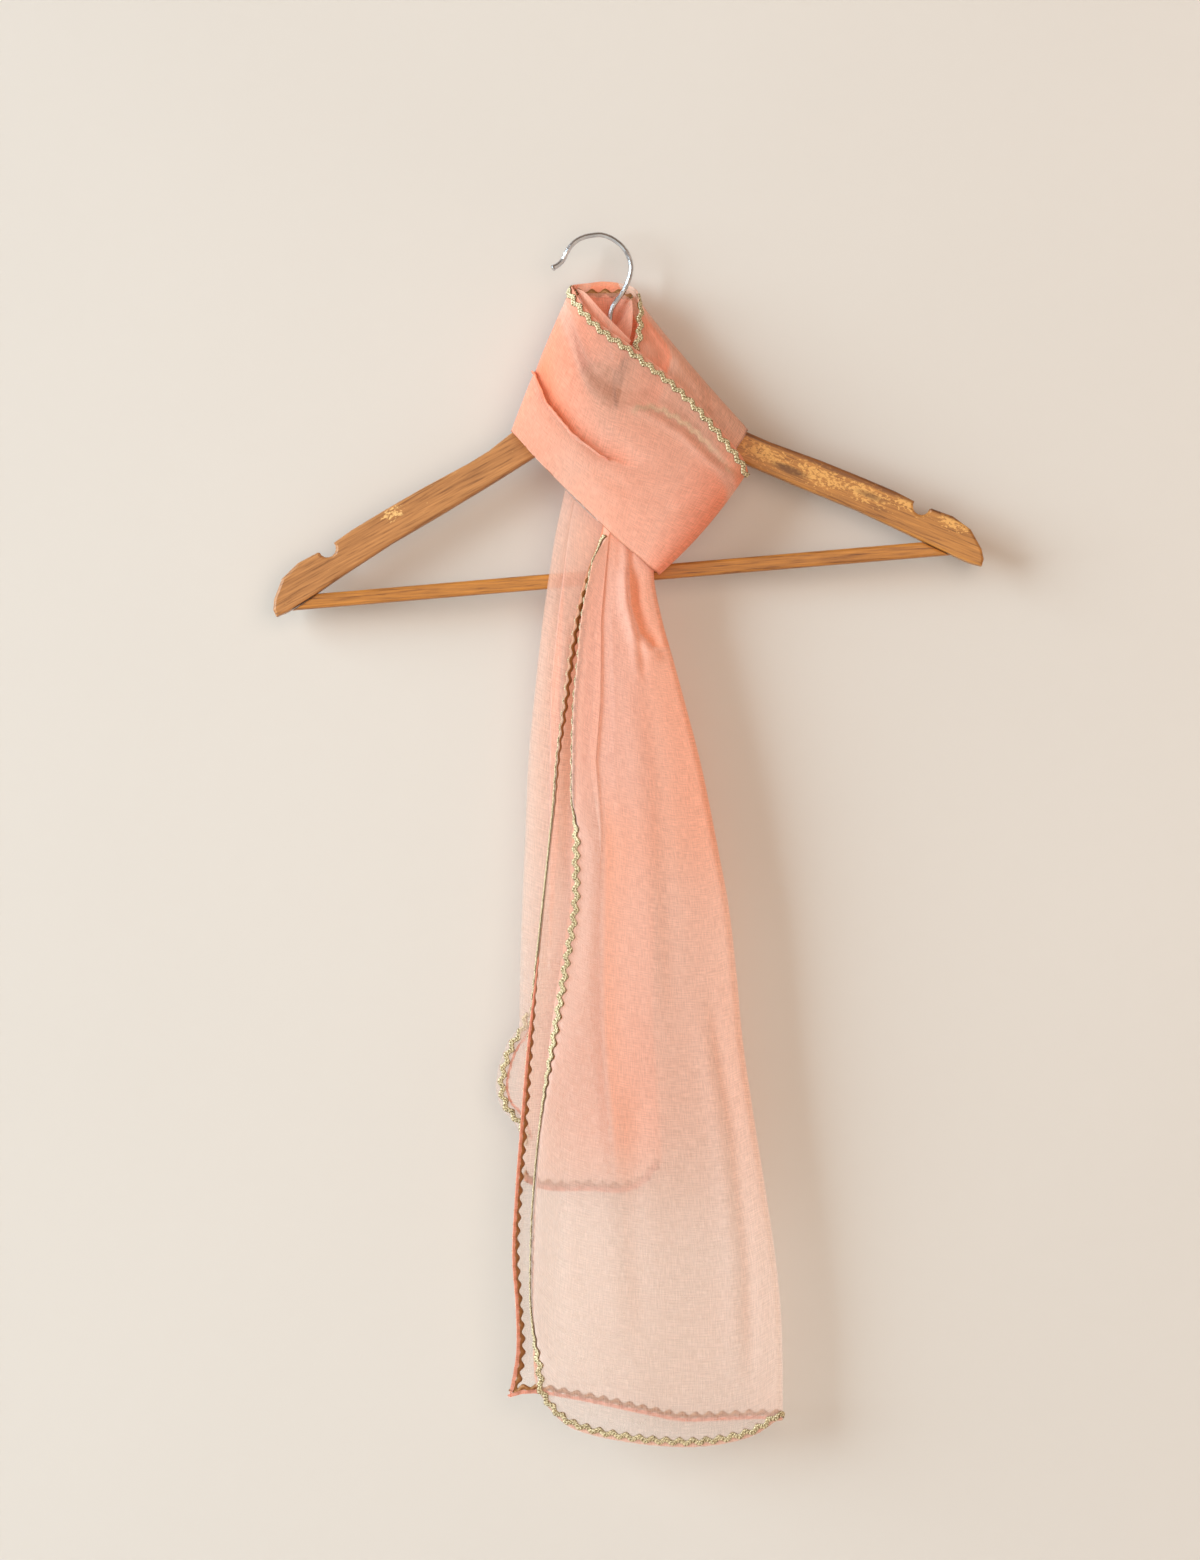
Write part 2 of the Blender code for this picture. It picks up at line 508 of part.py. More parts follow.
def flat_piece(name, outline, thickness, material):
    """A flat outline in the hanger's own axes, with thickness and rounded edges, as a mesh."""
    curve = bpy.data.curves.new(name, "CURVE")
    curve.dimensions = "2D"
    curve.fill_mode = "BOTH"
    curve.extrude = (thickness / 2 - ROUNDING) * MM
    curve.bevel_depth = ROUNDING * MM
    curve.bevel_resolution = 1
    curve.offset = -ROUNDING * MM
    spline = curve.splines.new("POLY")
    spline.points.add(len(outline) - 1)
    for point, (s, b) in zip(spline.points, outline):
        point.co = (s * MM, b * MM, 0.0, 1.0)
    spline.use_cyclic_u = True
    drawn = add_object(name + "_outline", curve, None)
    drawn.rotation_euler = (math.pi / 2, 0.0, 0.0)
    drawn.parent = hanger
    bpy.context.view_layer.update()
    evaluated = drawn.evaluated_get(bpy.context.evaluated_depsgraph_get())
    mesh = bpy.data.meshes.new_from_object(evaluated)
    mesh.name = name
    clean = bmesh.new()
    clean.from_mesh(mesh)
    bmesh.ops.remove_doubles(clean, verts=clean.verts, dist=0.00001)
    bmesh.ops.recalc_face_normals(clean, faces=clean.faces)
    clean.to_mesh(mesh)
    clean.free()
    piece = add_object(name, mesh, material)
    piece.matrix_world = drawn.matrix_world.copy()
    bpy.data.objects.remove(drawn, do_unlink=True)
    return piece


def arm_outline(side):
    """Half of the hanger's yoke, to the right for side 1 and to the left for side -1."""
    notch = []
    for angle in np.radians(np.linspace(NOTCH_START, NOTCH_END, NOTCH_STEPS + 1)):
        notch.append((NOTCH_CENTRE[0] + NOTCH_RADIUS * math.cos(angle),
                      NOTCH_CENTRE[1] + NOTCH_RADIUS * math.sin(angle)))
    points = NECK + ARM_TOP[:-1] + notch + ARM_TIP + ARM_LOW
    return [(HANGER_AXIS + side * s, b) for s, b in points]


def bar_outline():
    """The bar's outline: its mitred ends follow the arms' lower edges, a gap away."""
    (s_out, b_out), (s_in, b_in) = ARM_LOW[0], ARM_LOW[2]
    slope = (b_out - b_in) / (s_out - s_in)
    reach = GAP * math.hypot(1.0, slope) + BAR_END_GAP

    def end(b):
        return s_in + (b + reach - b_in) / slope

    corners = []
    for side, middle in ((-1, BAR_LEFT_B), (1, BAR_RIGHT_B)):
        low, high = middle - BAR_HEIGHT / 2, middle + BAR_HEIGHT / 2
        ends = [(HANGER_AXIS + side * end(low), low), (HANGER_AXIS + side * end(high), high)]
        corners += ends[::-1] if side < 0 else ends
    return corners


HOOK_ROUTE = [
    (-28.6, -16.6), (-25.4, -15.0), (-22.6, -12.2), (-20.4, -8.2), (-17.4, -4.2), (-13.4, -1.0),
    (-8.0, 1.0), (-2.4, WIRE_RADIUS), (2.4, 1.4), (8.0, -0.9), (13.1, -5.0), (16.8, -9.9),
    (18.9, -15.8), (19.1, -21.8), (17.2, -27.9), (13.6, -34.4), (9.0, -40.2), (5.4, -45.0),
    (3.7, -51.5), (HANGER_AXIS, -60.0), (HANGER_AXIS, -72.0), (HANGER_AXIS, -100.0),
]
# The small ball at the hook's tip: how far out past the wire's end, and how wide it is there, as
# a share of the wire's radius.
Ball = namedtuple("Ball", "reach radius")
BALL = [Ball(1.9, 0.62), Ball(1.5, 1.18), Ball(0.6, 1.3), Ball(0.0, 1.12)]


def make_hook():
    """The steel hook: one wire with a small ball at its tip, its foot in the neck's bore."""
    route = np.array(HOOK_ROUTE, float)
    at = np.linspace(0, len(route) - 1, (len(route) - 1) * 2 + 1)
    points = smooth(np.arange(len(route)), route, at)
    tip_way = (points[0] - points[1]) / np.linalg.norm(points[0] - points[1])
    ball = [points[0] + tip_way * ring.reach for ring in BALL]
    points = np.concatenate([ball, points[1:]])
    curve = bpy.data.curves.new("hook", "CURVE")
    curve.dimensions = "3D"
    curve.bevel_depth = WIRE_RADIUS * MM
    curve.bevel_resolution = 2
    curve.use_fill_caps = True
    spline = curve.splines.new("POLY")
    spline.points.add(len(points) - 1)
    for k, (point, (a, b)) in enumerate(zip(spline.points, points)):
        point.co = (a * MM, 0.0, b * MM, 1.0)
        point.radius = BALL[k].radius if k < len(BALL) else 1.0
    hook = add_object("hook", curve, BRIGHT_STEEL)
    hook.parent = hanger
    return hook


def make_bore():
    """The cutter for the hole that the hook's foot stands in."""
    bpy.ops.mesh.primitive_cylinder_add(
        vertices=BORE_SIDES, radius=(WIRE_RADIUS + GAP) * MM, depth=(BORE_DEPTH + CUT_OVER) * MM)
    cutter = bpy.context.active_object
    cutter.name = "hook_bore"
    cutter.parent = hanger
    cutter.location = (HANGER_AXIS * MM, 0.0, (NECK_TOP + (CUT_OVER - BORE_DEPTH) / 2) * MM)
    for owner in list(cutter.users_collection):
        owner.objects.unlink(cutter)
    cutters.objects.link(cutter)
    cutter.hide_render = True
    cutter.display_type = "WIRE"
    return cutter


bore = make_bore()
for arm_name, arm_side in (("hanger_arm_left", -1), ("hanger_arm_right", 1)):
    arm = flat_piece(arm_name, arm_outline(arm_side), WOOD_THICKNESS, HONEY_WOOD)
    drill = arm.modifiers.new("bore", "BOOLEAN")
    drill.operation = "DIFFERENCE"
    drill.solver = "EXACT"
    drill.object = bore
flat_piece("trouser_bar", bar_outline(), BAR_THICKNESS, HONEY_WOOD)
make_hook()


# The loop and the knot ---------------------------------------------------------------------
SEAM = GAP / 2 + 0.1         # each wall ends so far from the seam's line


def shorten(grid):
    """Pulls the first and last rows in, so that the walls keep half a gap each at a seam."""
    grid = grid.copy()
    for row, neighbour in ((0, 1), (-1, -2)):
        way = grid[:, neighbour] - grid[:, row]
        way = way / np.linalg.norm(way, axis=1, keepdims=True)
        grid[:, row] += way * SEAM
    return grid


def neck_braid(name, grid, first, last, side=1):
    """The braid along a stretch's neck edge, from one station to another."""
    rows = range(first * PER_STATION, last * PER_STATION + 1)
    points, inward, face = edge_of(grid, [((0, j), (1, j)) for j in rows], side)
    return braid(name, points, inward, face)


band = shorten(loop_grid(BAND, 17, BAND_FOLDS, face=-1))
wall("front_band", band, WALL, PEACH_CLOTH)
neck_braid("band_braid", band, 1, len(BAND) - 1, side=-1)

shoulder = shorten(loop_grid(SHOULDER, 13, SHOULDER_FOLDS, bow_at=0.35))
wall("right_shoulder", shoulder, WALL, PEACH_CLOTH)
neck_braid("shoulder_braid", shoulder, 2, 7)

wall("collar_back", shorten(loop_grid(COLLAR_BACK, 7)), WALL, PEACH_CLOTH)

inner = loop_grid(COLLAR_INNER, 4)
wall("collar_inner", inner, WALL, PEACH_CLOTH)
neck_braid("collar_braid", inner, 5, 12, side=-1)

wall("band_return", shorten(loop_grid(RETURN, 9, face=-1)), WALL, PEACH_CLOTH)


# The tails ---------------------------------------------------------------------------------
def tail_rows(fine, coarse, top, length):
    """Heights from 0 to 1: fine rows over the top stretch, coarse ones below it, and a last
    strip as wide as a margin."""
    upper = np.linspace(0.0, top / length, fine, endpoint=False)
    lower = np.linspace(top / length, 1.0 - MARGIN / length, coarse)
    return np.concatenate([upper, lower, [1.0]])


def margin_braid(name, grid, columns, rows, side, hem=True):
    """The braid down a layer's free edge, over the given rows, and along its hem. The layer's
    columns run from the free edge to the fold."""
    edge, over = columns[0], columns[1]
    last = grid.shape[1] - 1
    path = [((edge, j), (over, j)) for j in rows]
    if hem:
        path.append(((edge, last), (over, last - 1)))
        path += [((i, last), (i, last - 1)) for i in columns[1:]]
    points, inward, face = edge_of(grid, path, side)
    return braid(name, points, inward, face)


FRONT_COLUMNS = 11           # grid columns in each layer of the front tail
FRONT_LENGTH = 560.0
FRONT_GATHER = 120.0         # its top stretch, where the folds are close
UNDER_KNOT = 2               # grid rows that the knot hides, which have no braid
front_tail = tail_grid(
    FRONT_TAIL, FRONT_TOP, FRONT_HEM, tail_rows(12, 22, FRONT_GATHER, FRONT_LENGTH),
    FRONT_COLUMNS - 1, FRONT_FOLDS, BACK_LAYER_FOLDS)
wall("front_tail", front_tail, WALL, PEACH_CLOTH)
front_columns = list(range(FRONT_COLUMNS))
under_columns = [front_tail.shape[0] - 1 - i for i in front_columns]
braid_rows = range(UNDER_KNOT, front_tail.shape[1] - 1)
margin_braid("front_tail_braid", front_tail, front_columns, braid_rows, 1)
margin_braid("under_layer_braid", front_tail, under_columns, braid_rows, 1)

BACK_COLUMNS = 7             # grid columns in each layer of the back tail
BACK_LENGTH = 430.0
BACK_GATHER = 60.0
CORNER_TOP = -480.0          # the stretch of its free edge that is turned out to the left
CORNER_FOOT = -570.0
back_tail = tail_grid(
    BACK_TAIL, BACK_TOP, BACK_HEM, tail_rows(4, 24, BACK_GATHER, BACK_LENGTH),
    BACK_COLUMNS - 1, BACK_FOLDS, [])
wall("back_tail", back_tail, WALL, PEACH_CLOTH)
margin_braid("back_hem_braid", back_tail, list(range(BACK_COLUMNS)), [], 1)
corner_columns = [back_tail.shape[0] - 1, back_tail.shape[0] - 2]
corner_heights = back_tail[corner_columns[0], :, 2]
corner_rows = np.flatnonzero((corner_heights < CORNER_TOP) & (corner_heights > CORNER_FOOT))
margin_braid("corner_braid", back_tail, corner_columns, corner_rows.tolist(), -1, hem=False)
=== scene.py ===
import math
from collections import namedtuple

import bpy
import numpy as np
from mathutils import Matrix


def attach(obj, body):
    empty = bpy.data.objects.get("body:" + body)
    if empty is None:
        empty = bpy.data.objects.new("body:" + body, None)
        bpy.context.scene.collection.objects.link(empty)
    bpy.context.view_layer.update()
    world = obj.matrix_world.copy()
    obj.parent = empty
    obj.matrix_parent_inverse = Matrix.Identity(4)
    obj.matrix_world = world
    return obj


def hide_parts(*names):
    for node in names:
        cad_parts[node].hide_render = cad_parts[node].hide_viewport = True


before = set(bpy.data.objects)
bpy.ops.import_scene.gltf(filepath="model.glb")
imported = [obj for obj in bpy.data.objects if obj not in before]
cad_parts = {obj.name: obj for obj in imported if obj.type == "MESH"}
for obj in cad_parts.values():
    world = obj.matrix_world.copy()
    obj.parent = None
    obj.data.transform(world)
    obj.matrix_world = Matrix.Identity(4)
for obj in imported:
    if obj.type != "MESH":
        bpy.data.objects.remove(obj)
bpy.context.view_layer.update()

bpy.ops.object.select_all(action="DESELECT")

# Camera. A long lens looks straight at the wall from three metres, level, at the middle of the
# hanging stole. Colours are kept as they are mixed, with no film look.
MM = 0.001
LOOK_AT = (1.25, -339.2)     # x and z of the view's middle, in millimetres
lens = bpy.data.cameras.new("camera")
lens.lens = 110.77
lens.sensor_width = 36
camera = bpy.data.objects.new("camera", lens)
camera.location = (LOOK_AT[0] * MM, -3, LOOK_AT[1] * MM)
camera.rotation_euler = (math.pi / 2, 0, 0)
bpy.context.scene.collection.objects.link(camera)
bpy.context.scene.camera = camera
bpy.context.scene.view_settings.view_transform = "Standard"
bpy.context.scene.cycles.transparent_max_bounces = 32

# Wooden hanger. Two arms and a trouser bar of varnished hardwood with a straight grain, glued at
# the tips. The varnish has worn through in flakes where garments rub, mostly on the right arm.


def start_material(name):
    """An empty node material, a shorthand that adds a node to it, and one that ends it with its
    shader. A node given as an input stands for its first output."""
    material = bpy.data.materials.new(name)
    material.use_nodes = True
    tree = material.node_tree
    tree.nodes.clear()
    output = tree.nodes.new("ShaderNodeOutputMaterial")

    def add(kind, inputs=(), **settings):
        node = tree.nodes.new("ShaderNode" + kind)
        for key, value in settings.items():
            setattr(node, key, value)
        for key, value in dict(inputs).items():
            if isinstance(value, bpy.types.Node):
                value = value.outputs[0]
            if isinstance(value, bpy.types.NodeSocket):
                tree.links.new(value, node.inputs[key])
            else:
                node.inputs[key].default_value = value
        return node

    def end(shader):
        tree.links.new(shader.outputs[0], output.inputs[0])

    return material, add, end


def colour(r, g, b):
    """An sRGB colour from 0 to 255 as the linear colour that shaders work in."""
    linear = []
    for value in (r, g, b):
        share = value / 255
        linear.append(share / 12.92 if share <= 0.04045 else ((share + 0.055) / 1.055) ** 2.4)
    return (*linear, 1)


def stops(ramp, *points):
    """Sets a colour ramp's stops from (position, colour) pairs."""
    while len(ramp.color_ramp.elements) > 1:
        ramp.color_ramp.elements.remove(ramp.color_ramp.elements[-1])
    for k, (position, shade) in enumerate(points):
        stop = ramp.color_ramp.elements[0] if k == 0 else ramp.color_ramp.elements.new(position)
        stop.position = position
        stop.color = shade


WHITE = (1, 1, 1, 1)


def wood(name, slope, light, dark, worn, patches, knots=(), shaded_rim=None):
    """Varnished wood with its grain along a slope in degrees. Each patch of worn varnish and each
    knot is (x, z, half length, half width) in millimetres. The last argument is a line (x, z,
    slope, width) along which the rounded edge is darker: painted shade where that edge turns away
    from the light."""
    material, add, end = start_material(name)
    place = add("TexCoord").outputs["Object"]
    turn = (0, math.radians(slope), 0)
    lay = add("Mapping", {"Vector": place, "Rotation": turn})

    def ellipse(x, z, length, width):
        """1 at the middle of a long spot that lies along the grain, and 0 outside it."""
        centre = add("VectorMath", {0: place, 1: (x * MM, 0, z * MM)}, operation="SUBTRACT")
        spot = add("Mapping", {"Vector": centre, "Rotation": turn})
        spot = add("VectorMath", {0: spot, 1: (1000 / length, 0, 1000 / width)},
                   operation="MULTIPLY")
        reach = add("VectorMath", {0: spot}, operation="LENGTH").outputs["Value"]
        return add("MapRange", {"Value": reach, "From Min": 0.2, "From Max": 1.1,
                                "To Min": 1, "To Max": 0})

    def tinted(finish, tint, share, blend="MULTIPLY"):
        """The finish with a tint over a share of it."""
        return add("Mix", {"Factor": share, "A": finish, "B": tint},
                   data_type="RGBA", blend_type=blend).outputs["Result"]

    fibre = add("VectorMath", {0: lay, 1: (38, 480, 860)}, operation="MULTIPLY")
    fine = add("TexNoise", {"Vector": fibre, "Scale": 1, "Detail": 5,
                            "Roughness": 0.65})
    band = add("VectorMath", {0: lay, 1: (7, 60, 150)}, operation="MULTIPLY")
    broad = add("TexNoise", {"Vector": band, "Scale": 1, "Detail": 3,
                             "Distortion": 0.4})
    grain = add("Math", {0: fine, 1: 0.75}, operation="MULTIPLY")
    grain = add("Math", {0: broad, 1: 0.3, 2: grain},
                operation="MULTIPLY_ADD")
    shade = add("ValToRGB", {"Fac": grain})
    stops(shade, (0.34, dark), (0.66, light))
    finish = shade
    pores = add("ValToRGB", {"Fac": fine})
    stops(pores, (0.34, (0.45, 0.4, 0.35, 1)), (0.44, WHITE))
    finish = tinted(finish, pores, 0.6)
    flakes = add("VectorMath", {0: lay, 1: (400, 620, 680)}, operation="MULTIPLY")
    flakes = add("TexNoise", {"Vector": flakes, "Scale": 1, "Detail": 6,
                              "Roughness": 0.7})
    wear = None
    for patch in patches:
        inside = ellipse(*patch)
        wear = inside if wear is None else add("Math", {0: wear, 1: inside},
                                               operation="MAXIMUM")
    if wear is not None:
        cover = add("Math", {0: flakes, 1: -0.68}, operation="ADD")
        cover = add("Math", {0: wear, 1: 0.24, 2: cover}, operation="MULTIPLY_ADD")
        cover = add("MapRange", {"Value": cover, "From Min": 0, "From Max": 0.05})
        finish = tinted(finish, worn, cover, "MIX")
    for knot in knots:
        stain = add("Math", {0: ellipse(*knot), 1: broad}, operation="MULTIPLY")
        stain = add("MapRange", {"Value": stain, "From Min": 0.1, "From Max": 0.4})
        finish = tinted(finish, (0.35, 0.3, 0.26, 1), stain)
    # Painted shade: the rounded edge along the given line is darker, as it turns away from the
    # light.
    if shaded_rim:
        x, z, side_slope, width = shaded_rim
        centre = add("VectorMath", {0: place, 1: (x * MM, 0, z * MM)}, operation="SUBTRACT")
        across = (-math.sin(math.radians(side_slope)), 0, math.cos(math.radians(side_slope)))
        above = add("VectorMath", {0: centre, 1: across}, operation="DOT_PRODUCT")
        rim_shade = add("MapRange", {"Value": above.outputs["Value"], "From Min": -width * MM,
                               "From Max": -0.6 * width * MM})
        finish = tinted(finish, (0.45, 0.36, 0.32, 1), rim_shade)
    relief = add("Bump", {"Height": fine, "Strength": 0.35, "Distance": 0.0003})
    gloss = add("MapRange", {"Value": flakes, "From Min": 0.3, "From Max": 0.7,
                             "To Min": 0.34, "To Max": 0.55})
    end(add("BsdfPrincipled", {"Base Color": finish, "Roughness": gloss,
                               "Coat Weight": 0.1, "Coat Roughness": 0.3,
                               "Normal": relief}))
    return material


wood_left = wood("varnished_wood_left", 29, colour(192, 132, 74), colour(140, 88, 42),
                 colour(230, 184, 116), [(-128, -173, 12, 6)])
# The right arm has painted shade along its rounded top edge.
wood_right = wood("varnished_wood_right", -22.5, colour(196, 132, 60), colour(136, 84, 36),
                  colour(216, 160, 86),
                  [(104, -136, 34, 11), (138, -149.5, 34, 11),
                   (166, -160, 30, 10), (194, -167, 18, 9),
                   (222, -178, 20, 9)],
                  knots=[(120, -146, 16, 3.5), (170, -162, 14, 3)],
                  shaded_rim=(93, -122, -22, 3.4))
wood_bar = wood("varnished_wood_bar", 4.1, colour(198, 130, 52), colour(130, 76, 28),
                colour(214, 160, 90), [],
                knots=[(66, -196, 12, 2), (76, -199, 9, 1.6),
                       (120, -188.5, 7, 1.6)])
for node, material in (("hanger_arm_left", wood_left), ("hanger_arm_right", wood_right),
                       ("trouser_bar", wood_bar)):
    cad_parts[node].material_slots[0].material = material

# Hook. One length of polished round steel wire, bent in a swan neck with a small ball at its tip,
# and driven into the hanger's neck.
material, add, end = start_material("polished_steel")
place = add("TexCoord").outputs["Object"]
tarnish = add("TexNoise", {"Vector": place, "Scale": 260, "Detail": 3})
grade = add("ValToRGB", {"Fac": tarnish})
stops(grade, (0.35, colour(192, 194, 198)), (0.65, colour(212, 214, 216)))
smear = add("MapRange", {"Value": tarnish, "To Min": 0.16, "To Max": 0.22})
end(add("BsdfPrincipled", {"Base Color": grade, "Roughness": smear,
                           "Metallic": 1}))
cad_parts["hook"].material_slots[0].material = material

# The cloth. A fine sheer voile of polyester thread in plain weave, one length of 0.34 by 1.75 m,
# folded in two lengthwise with its right side out. Every stretch below is a piece of that folded
# length, so it has two layers. A folded layer over another looks deeper and warmer.
THREAD = 0.0006              # metres from one thread to the next
PALE = colour(252, 231, 221)
DEEP = colour(249, 182, 148)
TONES = (-0.8, 1)            # from the sheerest cloth to the most gathered


def cloth(name, pale=PALE, deep=DEEP, cover=(0.42, 0.9)):
    """The sheer cloth. The attribute tone, from 0 to 1, leads from flat cloth to cloth that is
    gathered or creased, which is deeper in colour and lets less through. In creases and at the
    band's turned end the deeper colour is partly painted shade, and a lower tone along fold edges
    is a painted highlight."""
    material, add, end = start_material(name)
    plan = add("UVMap", uv_map="cloth").outputs["UV"]
    place = add("TexCoord").outputs["Object"]
    threads = []
    for stretch in ((140, 1 / THREAD, 1), (1 / THREAD, 140, 1)):
        run = add("VectorMath", {0: plan, 1: stretch}, operation="MULTIPLY")
        threads.append(add("TexNoise", {"Vector": run, "Scale": 1, "Detail": 2}))
    weave = add("Math", {0: threads[0], 1: threads[1]}, operation="ADD")
    weave = add("MapRange", {"Value": weave, "From Min": 0.75, "From Max": 1.25})
    cloud = add("TexNoise", {"Vector": place, "Scale": 22, "Detail": 2})
    tone = add("Attribute", attribute_name="tone").outputs["Fac"]
    tone = add("Math", {0: cloud, 1: 0.12, 2: tone}, operation="MULTIPLY_ADD")
    tone = add("Math", {0: tone, 1: -0.06}, operation="ADD")
    dye = add("Mix", {"Factor": tone, "A": pale, "B": deep}, data_type="RGBA").outputs["Result"]
    nap = add("Math", {0: weave, 1: 0.2, 2: 0.9}, operation="MULTIPLY_ADD")
    dye = add("VectorMath", {0: dye, "Scale": nap}, operation="SCALE")
    veil = add("MapRange", {"Value": tone, "From Min": -1, "To Min": 2 * cover[0] - cover[1],
                            "To Max": cover[1]})
    thin = add("Math", {0: weave, 1: 0.14, 2: -0.07}, operation="MULTIPLY_ADD")
    veil = add("Math", {0: veil, 1: thin}, operation="ADD", use_clamp=True)
    relief = add("Bump", {"Height": weave, "Strength": 0.25, "Distance": 0.0002})
    face = add("BsdfPrincipled", {"Base Color": dye, "Normal": relief, "Roughness": 0.62,
                                  "Specular IOR Level": 0.25, "Sheen Weight": 0.12,
                                  "Sheen Roughness": 0.45})
    glow = add("BsdfTranslucent", {"Color": dye, "Normal": relief})
    body = add("MixShader", {0: 0.34, 1: face, 2: glow})
    stain = add("Mix", {"Factor": tone, "A": (1, 0.972, 0.952, 1),
                        "B": (1, 0.8, 0.68, 1)}, data_type="RGBA").outputs["Result"]
    holes = add("BsdfTransparent", {"Color": stain})
    end(add("MixShader", {0: veil, 1: holes, 2: body}))
    return material


def smooth(at, values, x):
    """The smooth curve through (at, values), read at each x. Past the ends it stays at the end."""
    at = np.asarray(at, float)
    values = np.asarray(values, float).reshape(len(at), -1)
    x = np.clip(np.atleast_1d(np.asarray(x, float)), at[0], at[-1])
    steps = np.diff(values, axis=0) / np.diff(at)[:, None]
    slopes = np.concatenate([steps[:1], (steps[:-1] + steps[1:]) / 2, steps[-1:]])
    k = np.clip(np.searchsorted(at, x, side="right") - 1, 0, len(at) - 2)
    h = (at[k + 1] - at[k])[:, None]
    t = ((x - at[k]) / h[:, 0])[:, None]
    start = (1 + 2 * t) * (1 - t) ** 2 * values[k] + t * (1 - t) ** 2 * h * slopes[k]
    end = t * t * (3 - 2 * t) * values[k + 1] + t * t * (t - 1) * h * slopes[k + 1]
    return start + end


# A fold follows a line across the cloth as seen from the front, in millimetres. Its ridge stands
# out to the right of the way that the line runs, its valley goes in on the left and is deeper in
# colour by tone: partly the deeper colour of cloth doubled in the crease, partly painted shade in
# the crease. A narrow paler line just right of the fold's line is a painted highlight on its edge.
Fold = namedtuple("Fold", "line ridge valley width tone")
FOLD_FADE = 0.25             # share of a fold's length over which each end of it fades


def beside(x, z, line):
    """How far each point lies from a line, positive to the right of the way that the line runs,
    and the share of the line's length that is nearest to it."""
    line = np.array(line, float)
    nearest = np.full(x.shape, 1e9)
    side = np.zeros_like(x)
    run = np.zeros_like(x)
    lengths = np.linalg.norm(np.diff(line, axis=0), axis=1)
    before = 0
    for k, (start, end, length) in enumerate(zip(line[:-1], line[1:], lengths)):
        way = (end - start) / length
        low = -1e4 if k == 0 else 0
        high = 1e4 if k == len(lengths) - 1 else length
        along = np.clip((x - start[0]) * way[0] + (z - start[1]) * way[1], low, high)
        dx = x - start[0] - along * way[0]
        dz = z - start[1] - along * way[1]
        distance = np.hypot(dx, dz)
        closer = distance < nearest
        nearest = np.where(closer, distance, nearest)
        side = np.where(closer, np.sign(dx * way[1] - dz * way[0]), side)
        run = np.where(closer, (before + along) / lengths.sum(), run)
        before += length
    return side * nearest, run


def fold_relief(x, z, folds):
    """How far the folds lift the cloth off its even surface, and how much deeper they make its
    colour, at each (x, z): partly the deeper colour of doubled cloth, partly painted shade in the
    crease, less a painted highlight along the fold's edge."""
    lift = np.zeros_like(x)
    tone = np.zeros_like(x)
    for fold in folds:
        off, run = beside(x, z, fold.line)
        inside = np.clip(np.minimum(run, 1 - run) / FOLD_FADE + 0.15, 0, 1)
        taper = inside * inside * (3 - 2 * inside)
        off = off / fold.width
        ridge = np.exp(-((off - 0.7) ** 2) * 1.6)
        valley = np.exp(-((off + 0.5) ** 2) * 2.2)
        lift += taper * (fold.ridge * ridge - fold.valley * valley)
        # deep is the crease's deeper colour, partly doubled cloth and partly painted shade; the
        # narrow term taken off it is a painted highlight along the fold's edge.
        deep = np.where(off > 0, np.exp(-(off ** 2) * 60), np.exp(off / 1.2))
        tone += taper * fold.tone * (deep - 0.35 * np.exp(-((off - 0.25) ** 2) * 30))
    return lift, tone


def unit(ways):
    """The same directions, each one long."""
    return ways / np.maximum(np.linalg.norm(ways, axis=-1, keepdims=True), 1e-9)


def grid_normals(grid):
    """The direction that the cloth's face looks in, at each point of a grid (column, row, xyz)."""
    return unit(np.cross(np.gradient(grid, axis=1), np.gradient(grid, axis=0)))


def between(values, index):
    """A grid's values, read in each row at columns that may lie between its own."""
    low = index.astype(int)
    part = (index - low).reshape(index.shape + (1,) * (values.ndim - 2))
    row = np.arange(values.shape[1])[None, :]
    return values[low, row] * (1 - part) + values[low + 1, row] * part


# A tuck is a knife pleat along a line: the cloth doubles back under itself for its width. Its
# upper side is the one with the lower columns where the width is positive.
Tuck = namedtuple("Tuck", "line width lift")
TUCK_COLUMNS = 5
TUCK_FADE = 0.42             # share of a tuck's length over which each end of it fades
SPREAD = 1.5                 # columns that a tuck takes up flat, past its ends


